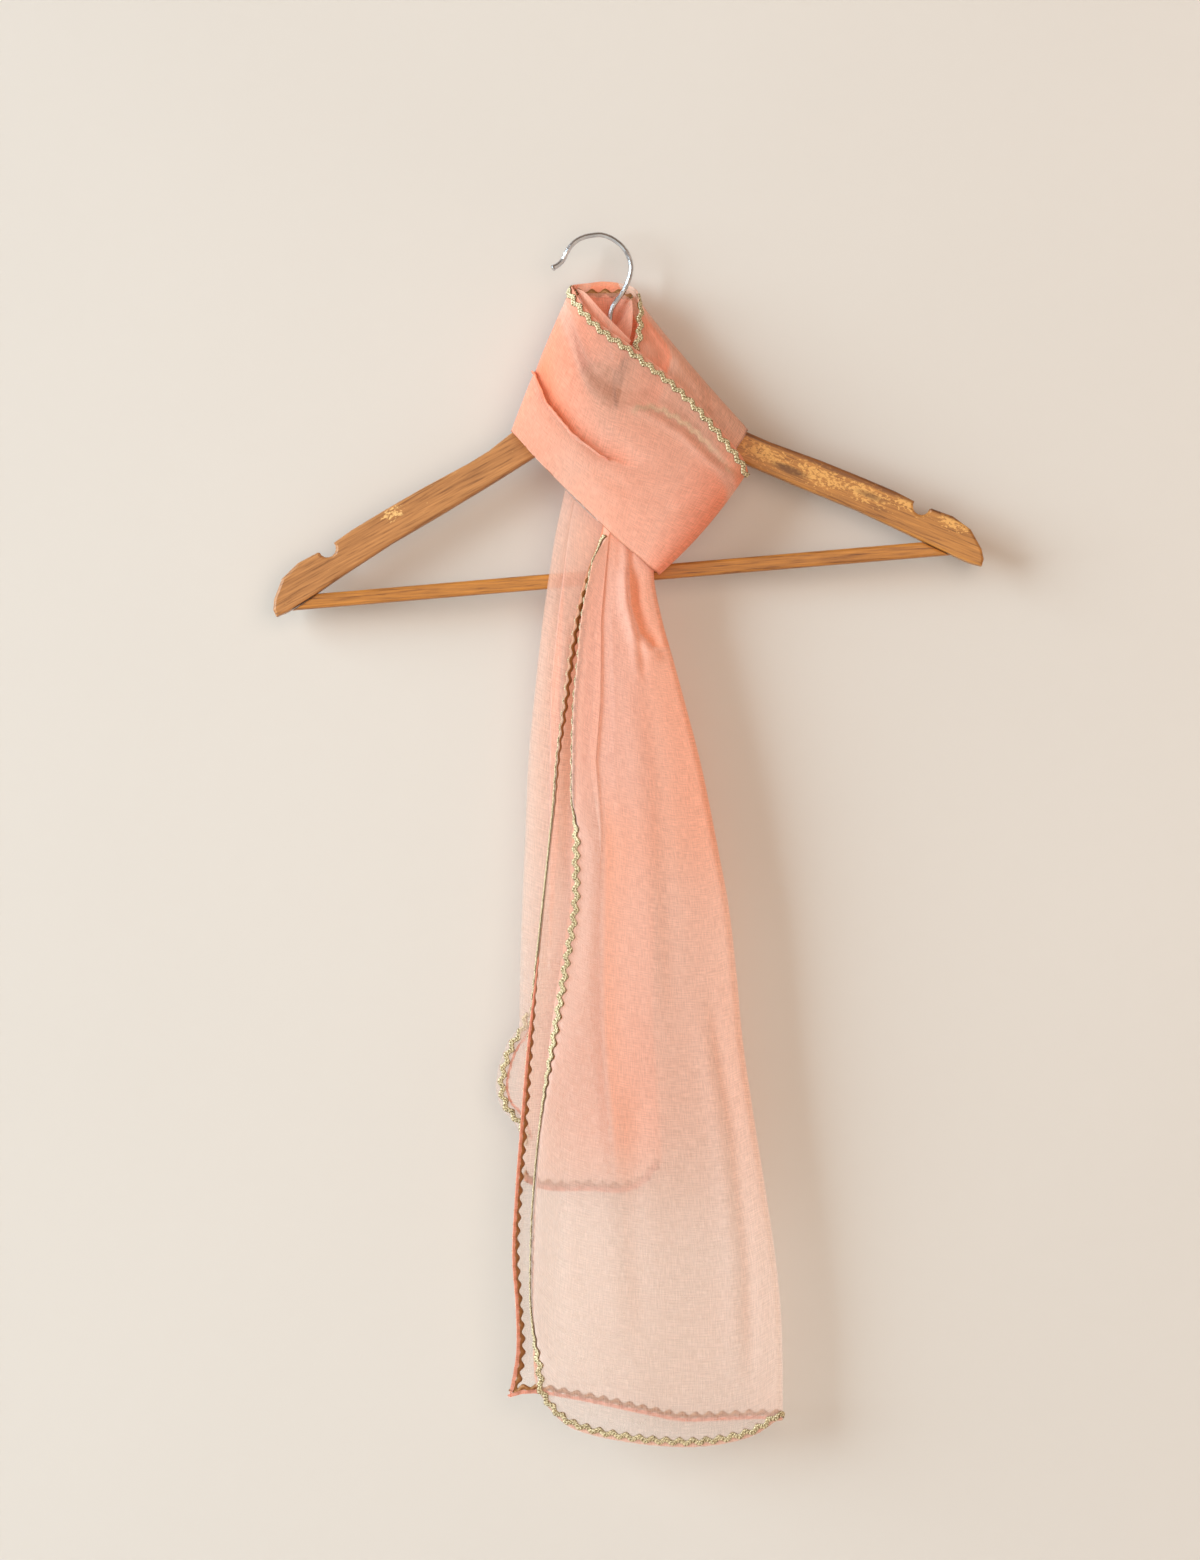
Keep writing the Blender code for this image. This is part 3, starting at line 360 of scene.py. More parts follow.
def tucked(grid, tone, tucks, face, first=0):
    """The grid with its tucks laid in. Columns before first are left as they are."""
    columns, rows = grid.shape[:2]
    index = [np.tile(np.arange(first, dtype=float)[:, None], (1, rows))]
    under = [np.zeros((first, rows))]
    start = np.full(rows, float(first))
    steps = np.median(np.linalg.norm(np.diff(grid, axis=0), axis=2), axis=0)
    for one in list(tucks) + [None]:
        if one is None:
            stop = np.full(rows, columns - 1.0)
        else:
            off, run = beside(grid[:, :, 0], grid[:, :, 2], one.line)
            nearest = np.abs(off[first:]).argmin(axis=0) + first
            nearest = np.clip(nearest, first + 3, columns - 4)
            here = np.take_along_axis(off, nearest[None], 0)[0]
            after = np.take_along_axis(off, nearest[None] + 1, 0)[0]
            shift = np.clip(-here / np.where(np.abs(after - here) < 1e-6, 1e-6, after - here),
                            -1, 1)
            stop = nearest + shift
            share = np.take_along_axis(run, nearest[None], 0)[0]
            inside = np.clip(np.minimum(share, 1 - share) / TUCK_FADE, 0, 1)
            full = inside * inside * (3 - 2 * inside)
            width = abs(one.width) * full / steps
            spread = SPREAD * (1 - full)
            lift = one.lift * inside
            end = stop if one.width > 0 else stop + width
            turn, again = end - width, end + spread
            stop = end - spread
        count = max(3, int(round(float(np.mean(stop - start)))))
        t = np.linspace(0, 1, count, endpoint=one is None)[:, None]
        index.append(start + (stop - start) * t)
        depth = np.zeros((count, rows))
        if under[-1].size and len(index) > 2:
            depth += under[-1][-1] * np.clip(1 - t * count / 12, 0, 1)
        if one is not None:
            t = np.linspace(0, 1, TUCK_COLUMNS, endpoint=False)[:, None]
            near = np.clip(1 - (1 - np.linspace(0, 1, count, endpoint=False)[:, None]) * count / 10,
                           0, 1)
            index += [stop + (turn - stop) * t, turn + (again - turn) * t]
            if one.width > 0:
                under.append(depth)
                under += [-lift * t, -lift * (1 + t)]
            else:
                under.append(depth - 2 * lift * near)
                under += [-lift * (2 - t), -lift * (1 - t)]
            start = again
        else:
            under.append(depth)
    index = np.clip(np.concatenate(index), 0, columns - 1.001)
    under = np.concatenate(under)[:, :, None]
    way = between(grid_normals(grid) * face, index)
    return between(grid, index) + way * under, between(tone, index)


def new_piece(name, points, faces, map_name, plan, material, slot, **shades):
    """A piece from points in millimetres, with a UV plan and attributes given for each point."""
    mesh = bpy.data.meshes.new(name)
    mesh.from_pydata((points.reshape(-1, 3) * MM).tolist(), [], faces)
    corners = np.empty(len(mesh.loops), dtype=np.int32)
    mesh.loops.foreach_get("vertex_index", corners)
    layer = mesh.uv_layers.new(name=map_name)
    layer.uv.foreach_set("vector", plan.reshape(-1, 2)[corners].ravel().astype(np.float32))
    for key, values in shades.items():
        shade = mesh.attributes.new(key, "FLOAT", "POINT")
        shade.data.foreach_set("value", values.ravel().astype(np.float32))
    mesh.materials.append(material)
    piece = bpy.data.objects.new(name, mesh)
    bpy.context.scene.collection.objects.link(piece)
    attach(piece, "root")
    return piece


def sheet_piece(name, grid, tone, material, face=1):
    """An open sheet over a grid of points, with its flat plan in metres as its UV map and its
    tone as an attribute. Its faces look out from the side of the cloth that is seen, which face
    gives as it does for the grid."""
    columns, rows = grid.shape[:2]
    corner = (np.arange(columns - 1)[:, None] * rows + np.arange(rows - 1)[None, :]).ravel()
    faces = np.stack([corner, corner + rows, corner + rows + 1, corner + 1], axis=1)
    if face > 0:
        faces = faces[:, ::-1]
    across = np.linalg.norm(np.diff(grid, axis=0), axis=2).mean(axis=1).cumsum()
    along = np.linalg.norm(np.diff(grid, axis=1), axis=2).mean(axis=0).cumsum()
    plan = np.zeros((columns, rows, 2))
    plan[1:, :, 0] = across[:, None] * MM
    plan[:, 1:, 1] = along[None, :] * MM
    piece = new_piece(name, grid, faces.tolist(), "cloth", plan, material, "peach_cloth",
                      tone=np.clip(tone, *TONES))
    piece.data.shade_smooth()
    return piece


# A stretch of the loop round the neck has a row for each station along the cloth: its neck edge,
# its outer edge, how far the cloth stands out between them, and how far the row is bowed sideways
# and down from a straight line.
Station = namedtuple("Station", "neck_x neck_z neck_y outer_x outer_z outer_y crown bow_x bow_z",
                     defaults=(0, 0, 0))
MARGIN = 7                   # the strip of cloth along a free edge that carries the braid
MARGIN_COLUMNS = 4


def loop_grid(stations, across, rows, folds=(), face=1, bow_at=0.5):
    """The grid of a stretch and its tone: columns from the neck edge to the outer edge, rows
    along the run. The face is the sign that turns its normals outward."""
    table = np.array(stations, float)
    at = np.linspace(0, len(table) - 1, rows)
    values = smooth(np.arange(len(table)), table, at)
    neck = values[:, [0, 2, 1]]
    outer = values[:, [3, 5, 4]]
    width = float(np.median(np.linalg.norm(outer - neck, axis=1)))
    margin = min(MARGIN / width, 0.3)
    share = np.concatenate([np.linspace(0, margin, MARGIN_COLUMNS, endpoint=False),
                            np.linspace(margin, 1, across)])[:, None, None]
    grid = neck + (outer - neck) * share
    bow = (share / bow_at) ** (bow_at / (1 - bow_at)) * (1 - share) / (1 - bow_at)
    grid = grid + bow * values[:, 7:8] * (1, 0, 0) + bow * values[:, 8:9] * (0, 0, 1)
    normals = grid_normals(grid) * face
    facing = np.clip(-normals[:, :, 1], 0, 1)
    lift, tone = fold_relief(grid[:, :, 0], grid[:, :, 2], folds)
    lift = np.sin(math.pi * share[:, :, 0]) * values[:, 6] + lift * facing
    return grid + normals * lift[:, :, None], tone * facing


def doubled(grid, tone, face, inset, gap):
    """The folded length: the outer layer, the fold at its outer edge, and the inner layer back
    to its own free edge, which stops short of the outer one by inset, in every row or in each."""
    columns, rows = grid.shape[:2]
    steps = np.linalg.norm(np.diff(grid, axis=0), axis=2).mean(axis=1).cumsum()
    first = np.interp(np.broadcast_to(inset, rows), np.concatenate([[0], steps]),
                      np.arange(columns))
    count = max(8, (columns - int(first.min())) * 2 // 3)
    share = np.linspace(0, 1, count)[:, None]
    index = first + (columns - 1.001 - first) * share
    normals = (grid_normals(grid) * face)[index.astype(int), np.arange(rows)]
    inner = between(grid, index) - normals * (gap * np.sqrt(1 - share ** 4))[:, :, None]
    return np.concatenate([grid, inner[::-1]]), np.concatenate([tone, between(tone, index)[::-1]])


# Braid. A narrow braid of pale gilt thread, plaited so that it waves from side to side, and
# stitched flat along every free edge, a little way in from a narrow hem that is turned to the
# wrong side.
PITCH = 8.4                  # millimetres from one wave to the next
WAVE = 1                     # how far the braid waves to each side of its middle line
PLAIT = 1.35                 # and how far its strands swing to each side of that
STRAND = 0.55                # a strand's radius
SIDES = 5                    # and how many sides it has
TURNS = 2.5                  # plait turns to a wave
HEM = 3                      # width of the turned hem
BraidEdge = namedtuple("BraidEdge", "points middle inward face")

material, add, end = start_material("gilt_thread")
plan = add("UVMap", uv_map="braid").outputs["UV"]
place = add("TexCoord").outputs["Object"]
# The gilt's colour follows the twist from dark olive to pale cream: painted highlights and painted
# shade on the twisted strands, with random flecks.
twist = add("TexWave", {"Vector": plan, "Scale": 1, "Distortion": 0.4},
            bands_direction="DIAGONAL").outputs["Fac"]
fleck = add("TexNoise", {"Vector": place, "Scale": 900, "Detail": 4})
twist_highlight_and_shade = add("Math", {0: twist, 1: 0.35, 2: fleck}, operation="MULTIPLY_ADD")
gilt = add("ValToRGB", {"Fac": twist_highlight_and_shade})
stops(gilt, (0.4, colour(84, 66, 36)), (0.56, colour(168, 148, 102)),
      (0.76, colour(240, 228, 190)))
# backing is 1 on the band of thread on the wrong side, its own colour; on the strands it is painted
# shade where one dips under another.
backing = add("Attribute", attribute_name="backing").outputs["Fac"]
backing_thread_and_shade = add("ValToRGB", {"Fac": backing})
stops(backing_thread_and_shade, (0.82, colour(90, 64, 32)), (1, colour(156, 104, 54)))
gilt = add("Mix", {"Factor": backing, "A": gilt, "B": backing_thread_and_shade},
           data_type="RGBA").outputs["Result"]
relief = add("Bump", {"Height": twist, "Strength": 0.5, "Distance": 0.0002})
worn = add("MapRange", {"Value": fleck, "To Min": 0.3, "To Max": 0.55})
end(add("BsdfPrincipled", {"Base Color": gilt, "Roughness": worn, "Metallic": 0.25,
                           "Normal": relief}))
gilt_thread = material

hem_reverse = cloth("hem_from_behind", pale=colour(243, 174, 150), deep=colour(216, 118, 92),
                    cover=(0.66, 0.95))
hem_front = cloth("hem_from_the_front", pale=colour(250, 200, 176), cover=(0.45, 0.95))


def edge_of(grid, path, side=1):
    """The edge's points, the braid's middle line on the cloth, the ways in from the edge, and the
    ways that the right side looks, along a path of pairs: an edge point's index, and its
    neighbour's over the margin."""
    normals = grid_normals(grid) * side
    points = np.array([grid[a] for a, b in path])
    over = np.array([grid[b] for a, b in path])
    halves = [((a[0] + b[0]) // 2, (a[1] + b[1]) // 2) for a, b in path]
    middle = np.array([grid[half] for half in halves])
    along = unit(np.gradient(middle, axis=0))
    inward = over - points
    inward = unit(inward - along * np.sum(along * inward, axis=1, keepdims=True))
    face = np.cross(along, inward)
    looks = np.array([normals[half] for half in halves])
    face = face * np.where(np.sum(face * looks, axis=1, keepdims=True) < 0, -1, 1)
    return BraidEdge(points, middle, inward, unit(face))


def even_steps(edge, step):
    """The edge cut in even steps, with its frames softened, and the run at each step."""
    lengths = np.linalg.norm(np.diff(edge.middle, axis=0), axis=1)
    run = np.concatenate([[0], lengths.cumsum()])
    keep = np.concatenate([[True], lengths > 1e-6])
    at = np.linspace(0, run[-1], max(4, int(run[-1] / step)))
    found = []
    for values in edge:
        line = np.stack([np.interp(at, run[keep], values[keep, k]) for k in range(3)], axis=1)
        if len(found) > 1:
            soft = max(1, int(2 / step))
            padded = np.concatenate([line[:1].repeat(soft, 0), line, line[-1:].repeat(soft, 0)])
            kernel = np.ones(2 * soft + 1) / (2 * soft + 1)
            line = unit(np.stack([np.convolve(padded[:, k], kernel, "valid") for k in range(3)],
                                 axis=1))
        found.append(line)
    return BraidEdge(*found), at


def turns_back(edge):
    """Whether the way in and the right side turn against the edge's run, so that a rod built on
    them faces inward unless its faces are turned round."""
    along = np.gradient(edge.middle, axis=0)
    return np.sum(np.cross(along, edge.inward) * edge.face) < 0


def rod_faces(count, sides, first=0, turned=False):
    """The faces of a closed rod: quads from each ring of points to the next, and the two ends."""
    ring = np.arange(sides)
    start = first + sides * np.arange(count - 1)[:, None]
    quads = np.stack([start + ring, start + (ring + 1) % sides,
                      start + (ring + 1) % sides + sides, start + ring + sides], axis=-1)
    last = first + sides * (count - 1)
    faces = [*map(tuple, quads.reshape(-1, 4).tolist()),
             tuple(range(first + sides - 1, first - 1, -1)), tuple(range(last, last + sides))]
    return [face[::-1] for face in faces] if turned else faces


def tube(route, radius, sides, plans):
    """A tube along a route: its points and UV plan."""
    ways = unit(np.gradient(route, axis=0))
    right = unit(np.cross(ways, (0.12, -0.99, 0.07)))
    top = np.cross(right, ways)
    angles = np.arange(sides) * 2 * math.pi / sides
    ring = (np.cos(angles)[None, :, None] * right[:, None, :]
            + np.sin(angles)[None, :, None] * top[:, None, :])
    points = (route[:, None, :] + ring * radius).reshape(-1, 3)
    return points, np.stack([np.repeat(plans, sides),
                             np.tile(np.arange(sides) / sides, len(route))], axis=1)


def braid_piece(name, node, edge, lift=0.95, wide=1):
    """The braid along an edge: three strands plaited over one another, waving as one, stitched
    through to a band of thread on the wrong side. The attribute backing is 1 on that band, and
    rises where a strand dips under another, as painted shade between the strands."""
    fine, run = even_steps(edge, PITCH / TURNS / 9)
    wave = WAVE * np.cos(2 * math.pi * run / PITCH)
    sparse = slice(None, None, 2)
    half = wide * (PLAIT + 0.6 * STRAND)
    scallop = 0.25 * np.cos(2 * math.pi * run / PITCH)
    ring = ((-1, -0.12), (-1, -0.3), (1, -0.3), (1, -0.12))
    rings = [fine.middle + fine.inward * (wave + side * half + scallop)[:, None]
             + fine.face * up_by for side, up_by in ring]
    band = np.stack(rings, axis=1)[sparse]
    count = len(band)
    faces = rod_faces(count, 4, turned=turns_back(fine))
    points = [band.reshape(-1, 3)]
    plans = [np.stack([np.repeat(run[sparse], 4), np.tile(np.arange(4) / 4, count)], axis=1)]
    depth = [np.ones(4 * count)]
    for strand in range(3):
        angle = 2 * math.pi * (run * TURNS / PITCH + strand / 3)
        in_by = wave + PLAIT * np.sin(angle)
        over = np.sin(2 * angle)
        up_by = lift + 0.35 * over
        # Painted shade: a strand is darker where it dips under another.
        depth.append(np.repeat(0.3 - 0.5 * over, SIDES))
        route = fine.middle + fine.inward * in_by[:, None] + fine.face * up_by[:, None]
        faces += rod_faces(len(run), SIDES, sum(len(part) for part in points), turned=True)
        found, plan = tube(route, STRAND, SIDES, run / 1.1)
        points.append(found)
        plans.append(plan)
    piece = new_piece(name, np.concatenate(points), faces, "braid", np.concatenate(plans),
                      gilt_thread, "gold_braid", backing=np.concatenate(depth))
    piece.data.shade_smooth()
    if node:
        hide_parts(node)
    return piece


def hem_piece(name, edge, material, reach=(0, HEM)):
    """The hem: the last few millimetres of cloth, turned to the wrong side and stitched down."""
    fine, run = even_steps(edge, 1.6)
    wobble = 0.25 * np.sin(run * 0.9) + 0.15 * np.sin(run * 2.3 + 1)
    rings = []
    for far, up_by in ((0, 0), (0, -0.5), (1, -0.55), (1, -0.33)):
        way = reach[far] + (wobble if far else 0.35 * wobble)
        rings.append(fine.points + fine.inward * way[:, None] + fine.face * up_by)
    count = len(run)
    plan = np.stack([np.repeat(run * MM, 4), np.tile(np.arange(4) * HEM * MM, count)], axis=1)
    return new_piece(name, np.stack(rings, axis=1), rod_faces(count, 4, turned=turns_back(fine)),
                     "cloth", plan, material, "peach_cloth")


def rows_of(kind, *rows):
    """A table's rows, each as one of its kind."""
    return [kind(*row) for row in rows]


# Back of the collar. The middle of the folded length, laid behind the hook's neck and over the
# hanger's shoulders, between the two back seams.
COLLAR_BACK = rows_of(
    Station,
    #       neck_x neck_z neck_y outer_x outer_z outer_y crown bow_x bow_z
    (-4, -27.5, 9, -32, -130, 9.5),
    (1, -26.8, 9.2, -12, -140, 9.8, 0.5, 0, 0),
    (6.5, -26.8, 9.2, 16, -144, 10, 0.5, 0, 0),
    (12.5, -27.5, 9, 62, -134, 9.5),
)
loop_cloth = cloth("sheer_peach_loop", pale=colour(252, 208, 184), deep=colour(250, 166, 130),
                   cover=(0.62, 0.95))
grid, tone = loop_grid(COLLAR_BACK, 40, 40)
grid, tone = doubled(grid, tone + 0.9, 1, 3, 1.2)
collar_back = sheet_piece("collar_back_cloth", grid, tone, loop_cloth)
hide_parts("collar_back")

# Inside of the collar. The inner turn of the same cloth, which lies against the hook's foot. Its
# braided edge shows inside the opening at the top. Its material is a darker copy of the cloth's:
# painted shade of the collar's hollow.
COLLAR_INNER = rows_of(
    Station,
    (20.5, -66, -17, 12, -84, -17),
    (12, -57.5, -16.4, 3, -80, -16),
    (2, -47, -14.8, -4, -74, -13.5),
    (-7, -36.5, -11, -7, -58, -9.5),
    (-12.3, -33, -5.6, -6, -55, -5),
    (-13, -33.6, 0.3, -1.5, -54, -0.5),
    (-9.8, -34.2, 5.6, 2, -53.5, 3.2),
    (-2, -34.4, 7.5, 4.6, -53.5, 4.2),
    (7, -34.2, 7.6, 7, -53.5, 4.4),
    (15.2, -35, 6.6, 9.8, -54, 3.2),
    (20.4, -38.5, 1.2, 11.4, -55.5, 0.5),
    (21.4, -42.5, -4.8, 10.4, -57.5, -2.8),
    (21.6, -50.5, -7.6, 9.2, -61, -4.5),
    (20.8, -60, -9.4, 9.2, -67, -6.5),
    (18.6, -69, -10.6, 9.5, -75, -8),
)
# A darker copy of the cloth: painted shade of the collar's hollow.
shaded_inner_cloth = cloth("sheer_peach_inside_shaded", pale=colour(246, 186, 160), deep=colour(214, 124, 96),
                    cover=(0.75, 0.95))
PER_STATION = 12


def station_rows(stations):
    """How many grid rows a stretch has."""
    return (len(stations) - 1) * PER_STATION + 1


grid, tone = loop_grid(COLLAR_INNER, 14, station_rows(COLLAR_INNER))
collar_inner = sheet_piece("collar_inner_cloth", grid, tone, shaded_inner_cloth)
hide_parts("collar_inner")
rows = range(5 * PER_STATION, 10 * PER_STATION)
edge = edge_of(grid, [((0, j), (1, j)) for j in rows])
collar_braid = braid_piece("collar_gilt_braid", "collar_braid", edge)
collar_hem = hem_piece("collar_hem", edge, hem_front)

# Right shoulder. The folded length comes round the right of the neck and goes down in front,
# under the band, to become the front tail.
SHOULDER = rows_of(
    Station,
    (12.5, -27.5, 9, 62, -134, 9.5),
    (20, -29.5, 7.5, 88, -117, 8.2, 0.5, -3.2, 0),
    (24.4, -33, 1.5, 93.4, -120.8, 2.5, 0, -5.2, 0),
    (25, -36.5, -4, 93.2, -120.8, -6.6, 0.5, -5.2, 0),
    (25.6, -42.5, -8.5, 91, -126, -11.2, 1, -4.6, 0),
    (25.6, -50, -11.2, 87, -132, -13.2, 1.5, -3.5, 0),
    (24.6, -58, -13, 82.5, -140, -14.4, 1.5, -1.5, 0),
    (21.5, -68.5, -14.6, 76, -152, -15, 1, 0, 0),
    (17, -86, -15.8, 68, -166, -15.5, 0.5, 0, 0),
    (12.5, -108, -16.6, 60, -178, -16, 0.5, 0, 0),
    (8.5, -134, -17.4, 50, -188.5, -17, 0.5, 0, 0),
    (5.5, -157, -18, 40, -196.5, -18, 0.3, 0, 0),
    (4.3, -176.2, -18.2, 31.4, -200.6, -18.2),
)
SHOULDER_FOLDS = rows_of(
    Fold,
    ([(34, -110), (39, -98), (42, -88), (45, -76), (43, -69), (36, -60), (24, -44)],
     1.3, 2.2, 8, 1),
    ([(54, -76), (66, -96), (70, -118)], 0.8, 0.8, 5, 0.1),
)
grid, tone = loop_grid(SHOULDER, 50, station_rows(SHOULDER), SHOULDER_FOLDS, bow_at=0.35)
rows = range(2 * PER_STATION, 7 * PER_STATION + 1)
edge = edge_of(grid, [((0, j), (MARGIN_COLUMNS, j)) for j in rows])
grid, tone = doubled(grid, tone, 1, 6, 1)
shoulder = sheet_piece("right_shoulder_cloth", grid, tone, loop_cloth)
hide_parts("right_shoulder")
shoulder_braid = braid_piece("shoulder_gilt_braid", "shoulder_braid", edge)
shoulder_hem = hem_piece("shoulder_hem", edge, hem_front)

# Front tail. The end that comes from the right shoulder, hanging in front nearly to the floor of
# the view. Its fold is on the right, and its two free edges on the left, the under one further
# out. It is gathered where it leaves the knot.
Tail = namedtuple("Tail", "z front fold back front_y back_y front_curl back_curl")
Hem = namedtuple("Hem", "share front_z back_z")
FRONT_TAIL = rows_of(
    Tail,
    #    z  front fold back front_y back_y front_curl back_curl
    (-176, 4.3, 34.8, 4, -18.2, -12.2, 0, 0),
    (-186, 2.8, 34.6, 1.8, -18.2, -12.2, 50, 4),
    (-202, -0.8, 34.6, -4.2, -18.6, -12.2, 104, 10),
    (-215, -3.2, 35, -8.6, -19, -12.2, 112, 30),
    (-240, -7, 40, -14.4, -19.4, -12, 122, 50),
    (-265, -9.6, 47, -18.4, -19.8, -11.8, 118, 54),
    (-290, -12.4, 53.8, -21.4, -20, -11.6, 113, 60),
    (-327, -13.8, 63.5, -25.6, -20.4, -11.5, 110, 74),
    (-355, -14.4, 69.5, -27.2, -20.5, -11.3, 100, 84),
    (-372, -15.9, 72.8, -28.8, -20.5, -11.2, 50, 88),
    (-385, -17, 75.3, -30, -20.5, -11, 14, 90),
    (-414, -17.2, 80.8, -33.2, -20.5, -10.8, 4, 90),
    (-457, -23.8, 86, -38.4, -20.5, -10.5, 4, 80),
    (-500, -30, 90, -43.6, -20.2, -10.2, 30, 56),
    (-544, -34.4, 96.3, -47.5, -19.5, -10, 82, 45),
    (-600, -38.9, 105.2, -51.8, -19, -9.5, 98, 45),
    (-636, -40.2, 110.5, -53.4, -18.7, -9.5, 100, 45),
    (-668, -40.5, 113.8, -51.2, -18.5, -9.5, 94, 45),
    (-696, -40.2, 115, -51, -18.2, -9.5, 56, 24),
    (-714, -39.2, 115.2, -53.8, -18, -9.5, 10, 0),
    (-726, -38.2, 115.2, -56.4, -18, -9.5, 0, 0),
    (-760, -36, 115.2, -57, -18, -9.5, 0, 0),
)
FRONT_TOP = [Hem(0, -176.9, -176.9), Hem(1, -201.9, -201.9)]
FRONT_HEM = rows_of(
    Hem,
    (0, -714, -724.5),
    (0.042, -727.5, -722),
    (0.11, -739, -721.5),
    (0.21, -745.5, -724),
    (0.35, -750, -728.5),
    (0.5, -753, -734),
    (0.65, -754, -739),
    (0.8, -751.5, -738.8),
    (0.92, -746, -738),
    (1, -738, -738),
)
FRONT_FOLDS = rows_of(
    Fold,
    ([(5, -330), (5.5, -355), (6, -389), (5.5, -422), (5, -456), (5.5, -490), (8, -523),
      (11, -556), (14, -600)], 0.8, 0.8, 24, 0.72),
    ([(19, -184), (20, -218), (24, -250), (28, -280)], 0.9, 1, 3.6, 0.2),
    ([(20, -205), (21, -230), (27, -248), (35, -256), (46, -257)], 2.6, 3.2, 5.5, 0.45),
    ([(24, -270), (32, -330), (38, -420), (44, -500)], 0.5, 0.4, 9, 0.05),
    ([(66, -470), (82, -560), (90, -640), (92, -720)], 0.9, 1.4, 8, 0.12),
    ([(18, -520), (16, -610), (22, -700)], 0.8, 1, 12, 0.08),
)
FRONT_TUCKS = [
    Tuck([(9, -170), (6, -202), (2.5, -240), (2, -290), (-1, -327), (3, -370), (2, -420)],
         5.5, 0.8),
]
BACK_LAYER_FOLDS = rows_of(
    Fold,
    ([(12, -190), (14, -260), (10, -340), (12, -430)], 1.2, 1, 6, 0.1),
    ([(30, -260), (48, -360), (58, -470)], 1, 1, 9, 0.1),
    ([(-20, -470), (-18, -580), (-22, -690)], 0.9, 0.9, 8, 0.1),
)
CALM = 0.1                   # share of the width, at the margin and the fold, without folds
SETTLE_FROM = 20             # right of this, clear of the back tail, the front tail falls back
SETTLE_OVER = 45             # over this width
SETTLE_BY = 5.5              # by this much


def column(table, name, x, key="z"):
    """One named column of a table, as a smooth function of its key column."""
    rows = sorted(table, key=lambda row: getattr(row, key))
    found = smooth([getattr(row, key) for row in rows], [getattr(row, name) for row in rows], x)
    return found[:, 0]


def tail_layer(table, top, end, layer, heights, across, folds, settle_from=1e3):
    """One layer of a tail and its tone. The first columns are its free margin, the rest are
    spaced evenly from there to the fold. Past settle_from it falls back toward the wall."""
    even = np.linspace(0, 1, across)[:, None]
    strip_part = np.linspace(0, 1, MARGIN_COLUMNS, endpoint=False)[:, None]
    margin = np.full((1, len(heights)), CALM)
    for _ in range(4):
        share = np.concatenate([margin * strip_part, margin + (1 - margin) * even])
        start_z = column(top, layer + "_z", share.ravel(), "share").reshape(share.shape)
        end_z = column(end, layer + "_z", share.ravel(), "share").reshape(share.shape)
        z = start_z + (end_z - start_z) * heights
        flat_z = z.ravel()
        edge, fold, depth, back, front = [
            column(table, name, flat_z).reshape(z.shape)
            for name in (layer, "fold", layer + "_y", "back_y", "front_y")]
        width = fold - (back - front) / 2 - edge
        middle = MARGIN_COLUMNS
        curl = np.radians(column(table, layer + "_curl", z[middle]))
        strip = np.minimum(MARGIN, width[middle] * 0.25)
        margin = (strip * np.cos(curl) / width[middle])[None, :]
    grid = np.stack([edge + width * share, depth, z], axis=2)
    outward = -1 if layer == "front" else 1
    lift, tone = fold_relief(grid[:, :, 0], grid[:, :, 2], folds)
    calm = np.clip(np.minimum(share - margin, 1 - share) / CALM, 0, 1)
    grid[:, :, 1] += outward * lift * calm
    past = np.clip(grid[:, :, 0] - settle_from, 0, None) / SETTLE_OVER
    grid[:, :, 1] += SETTLE_BY * (1 - np.exp(-past ** 1.5))
    rolled = (1 - strip_part) ** 1.25 * strip * np.sin(curl)
    grid[:middle, :, 1] = grid[middle, :, 1] - outward * rolled
    return grid, tone


def fold_turn(front, back):
    """The turn at the fold, from the front layer round to the back layer."""
    middle = (front[-1] + back[-1]) / 2
    radius = (back[-1, :, 1] - front[-1, :, 1]) / 2
    turn = []
    for angle in np.radians(np.linspace(-90, 90, 11)[1:-1]):
        bend = middle.copy()
        bend[:, 0] += radius * math.cos(angle)
        bend[:, 1] += radius * math.sin(angle)
        turn.append(bend)
    return np.array(turn)


Gather = namedtuple("Gather", "z edge middle fold")
Layout = namedtuple("Layout", "grid tone front turn")


def gather_tone(grid, table):
    """Deeper colour where the cloth is gathered: at the free edge, in the middle and at the fold,
    for each height."""
    across = np.linspace(0, 1, grid.shape[0])[:, None]
    z = grid[:, :, 2].ravel()
    edge, middle, fold = [column(table, name, z).reshape(grid.shape[:2])
                          for name in ("edge", "middle", "fold")]
    left = np.clip(1 - 2 * across, 0, 1)
    right = np.clip((across - 0.4) / 0.6, 0, 1)
    return edge * left + fold * right + middle * np.clip(1 - left - right, 0, 1)


def tail_layout(tables, gather, heights, across, folds, under_folds, tucks, settle_from=1e3):
    """The grid and tone of a tail, from the front layer's free edge round its fold to the back
    layer's, and how many columns the front layer and the turn at the fold have."""
    front, front_tone = tail_layer(*tables, "front", heights, across[0], folds, settle_from)
    front_tone += gather_tone(front, gather)
    front, front_tone = tucked(front, front_tone, tucks, 1, MARGIN_COLUMNS)
    under, under_tone = tail_layer(*tables, "back", heights, across[1], under_folds, settle_from)
    under_tone += gather_tone(under, gather)
    turn = fold_turn(front, under)
    tone = [front_tone, np.tile(front_tone[-1], (len(turn), 1)), under_tone[::-1]]
    return Layout(np.concatenate([front, turn, under[::-1]]), np.concatenate(tone), len(front),
                  len(turn))


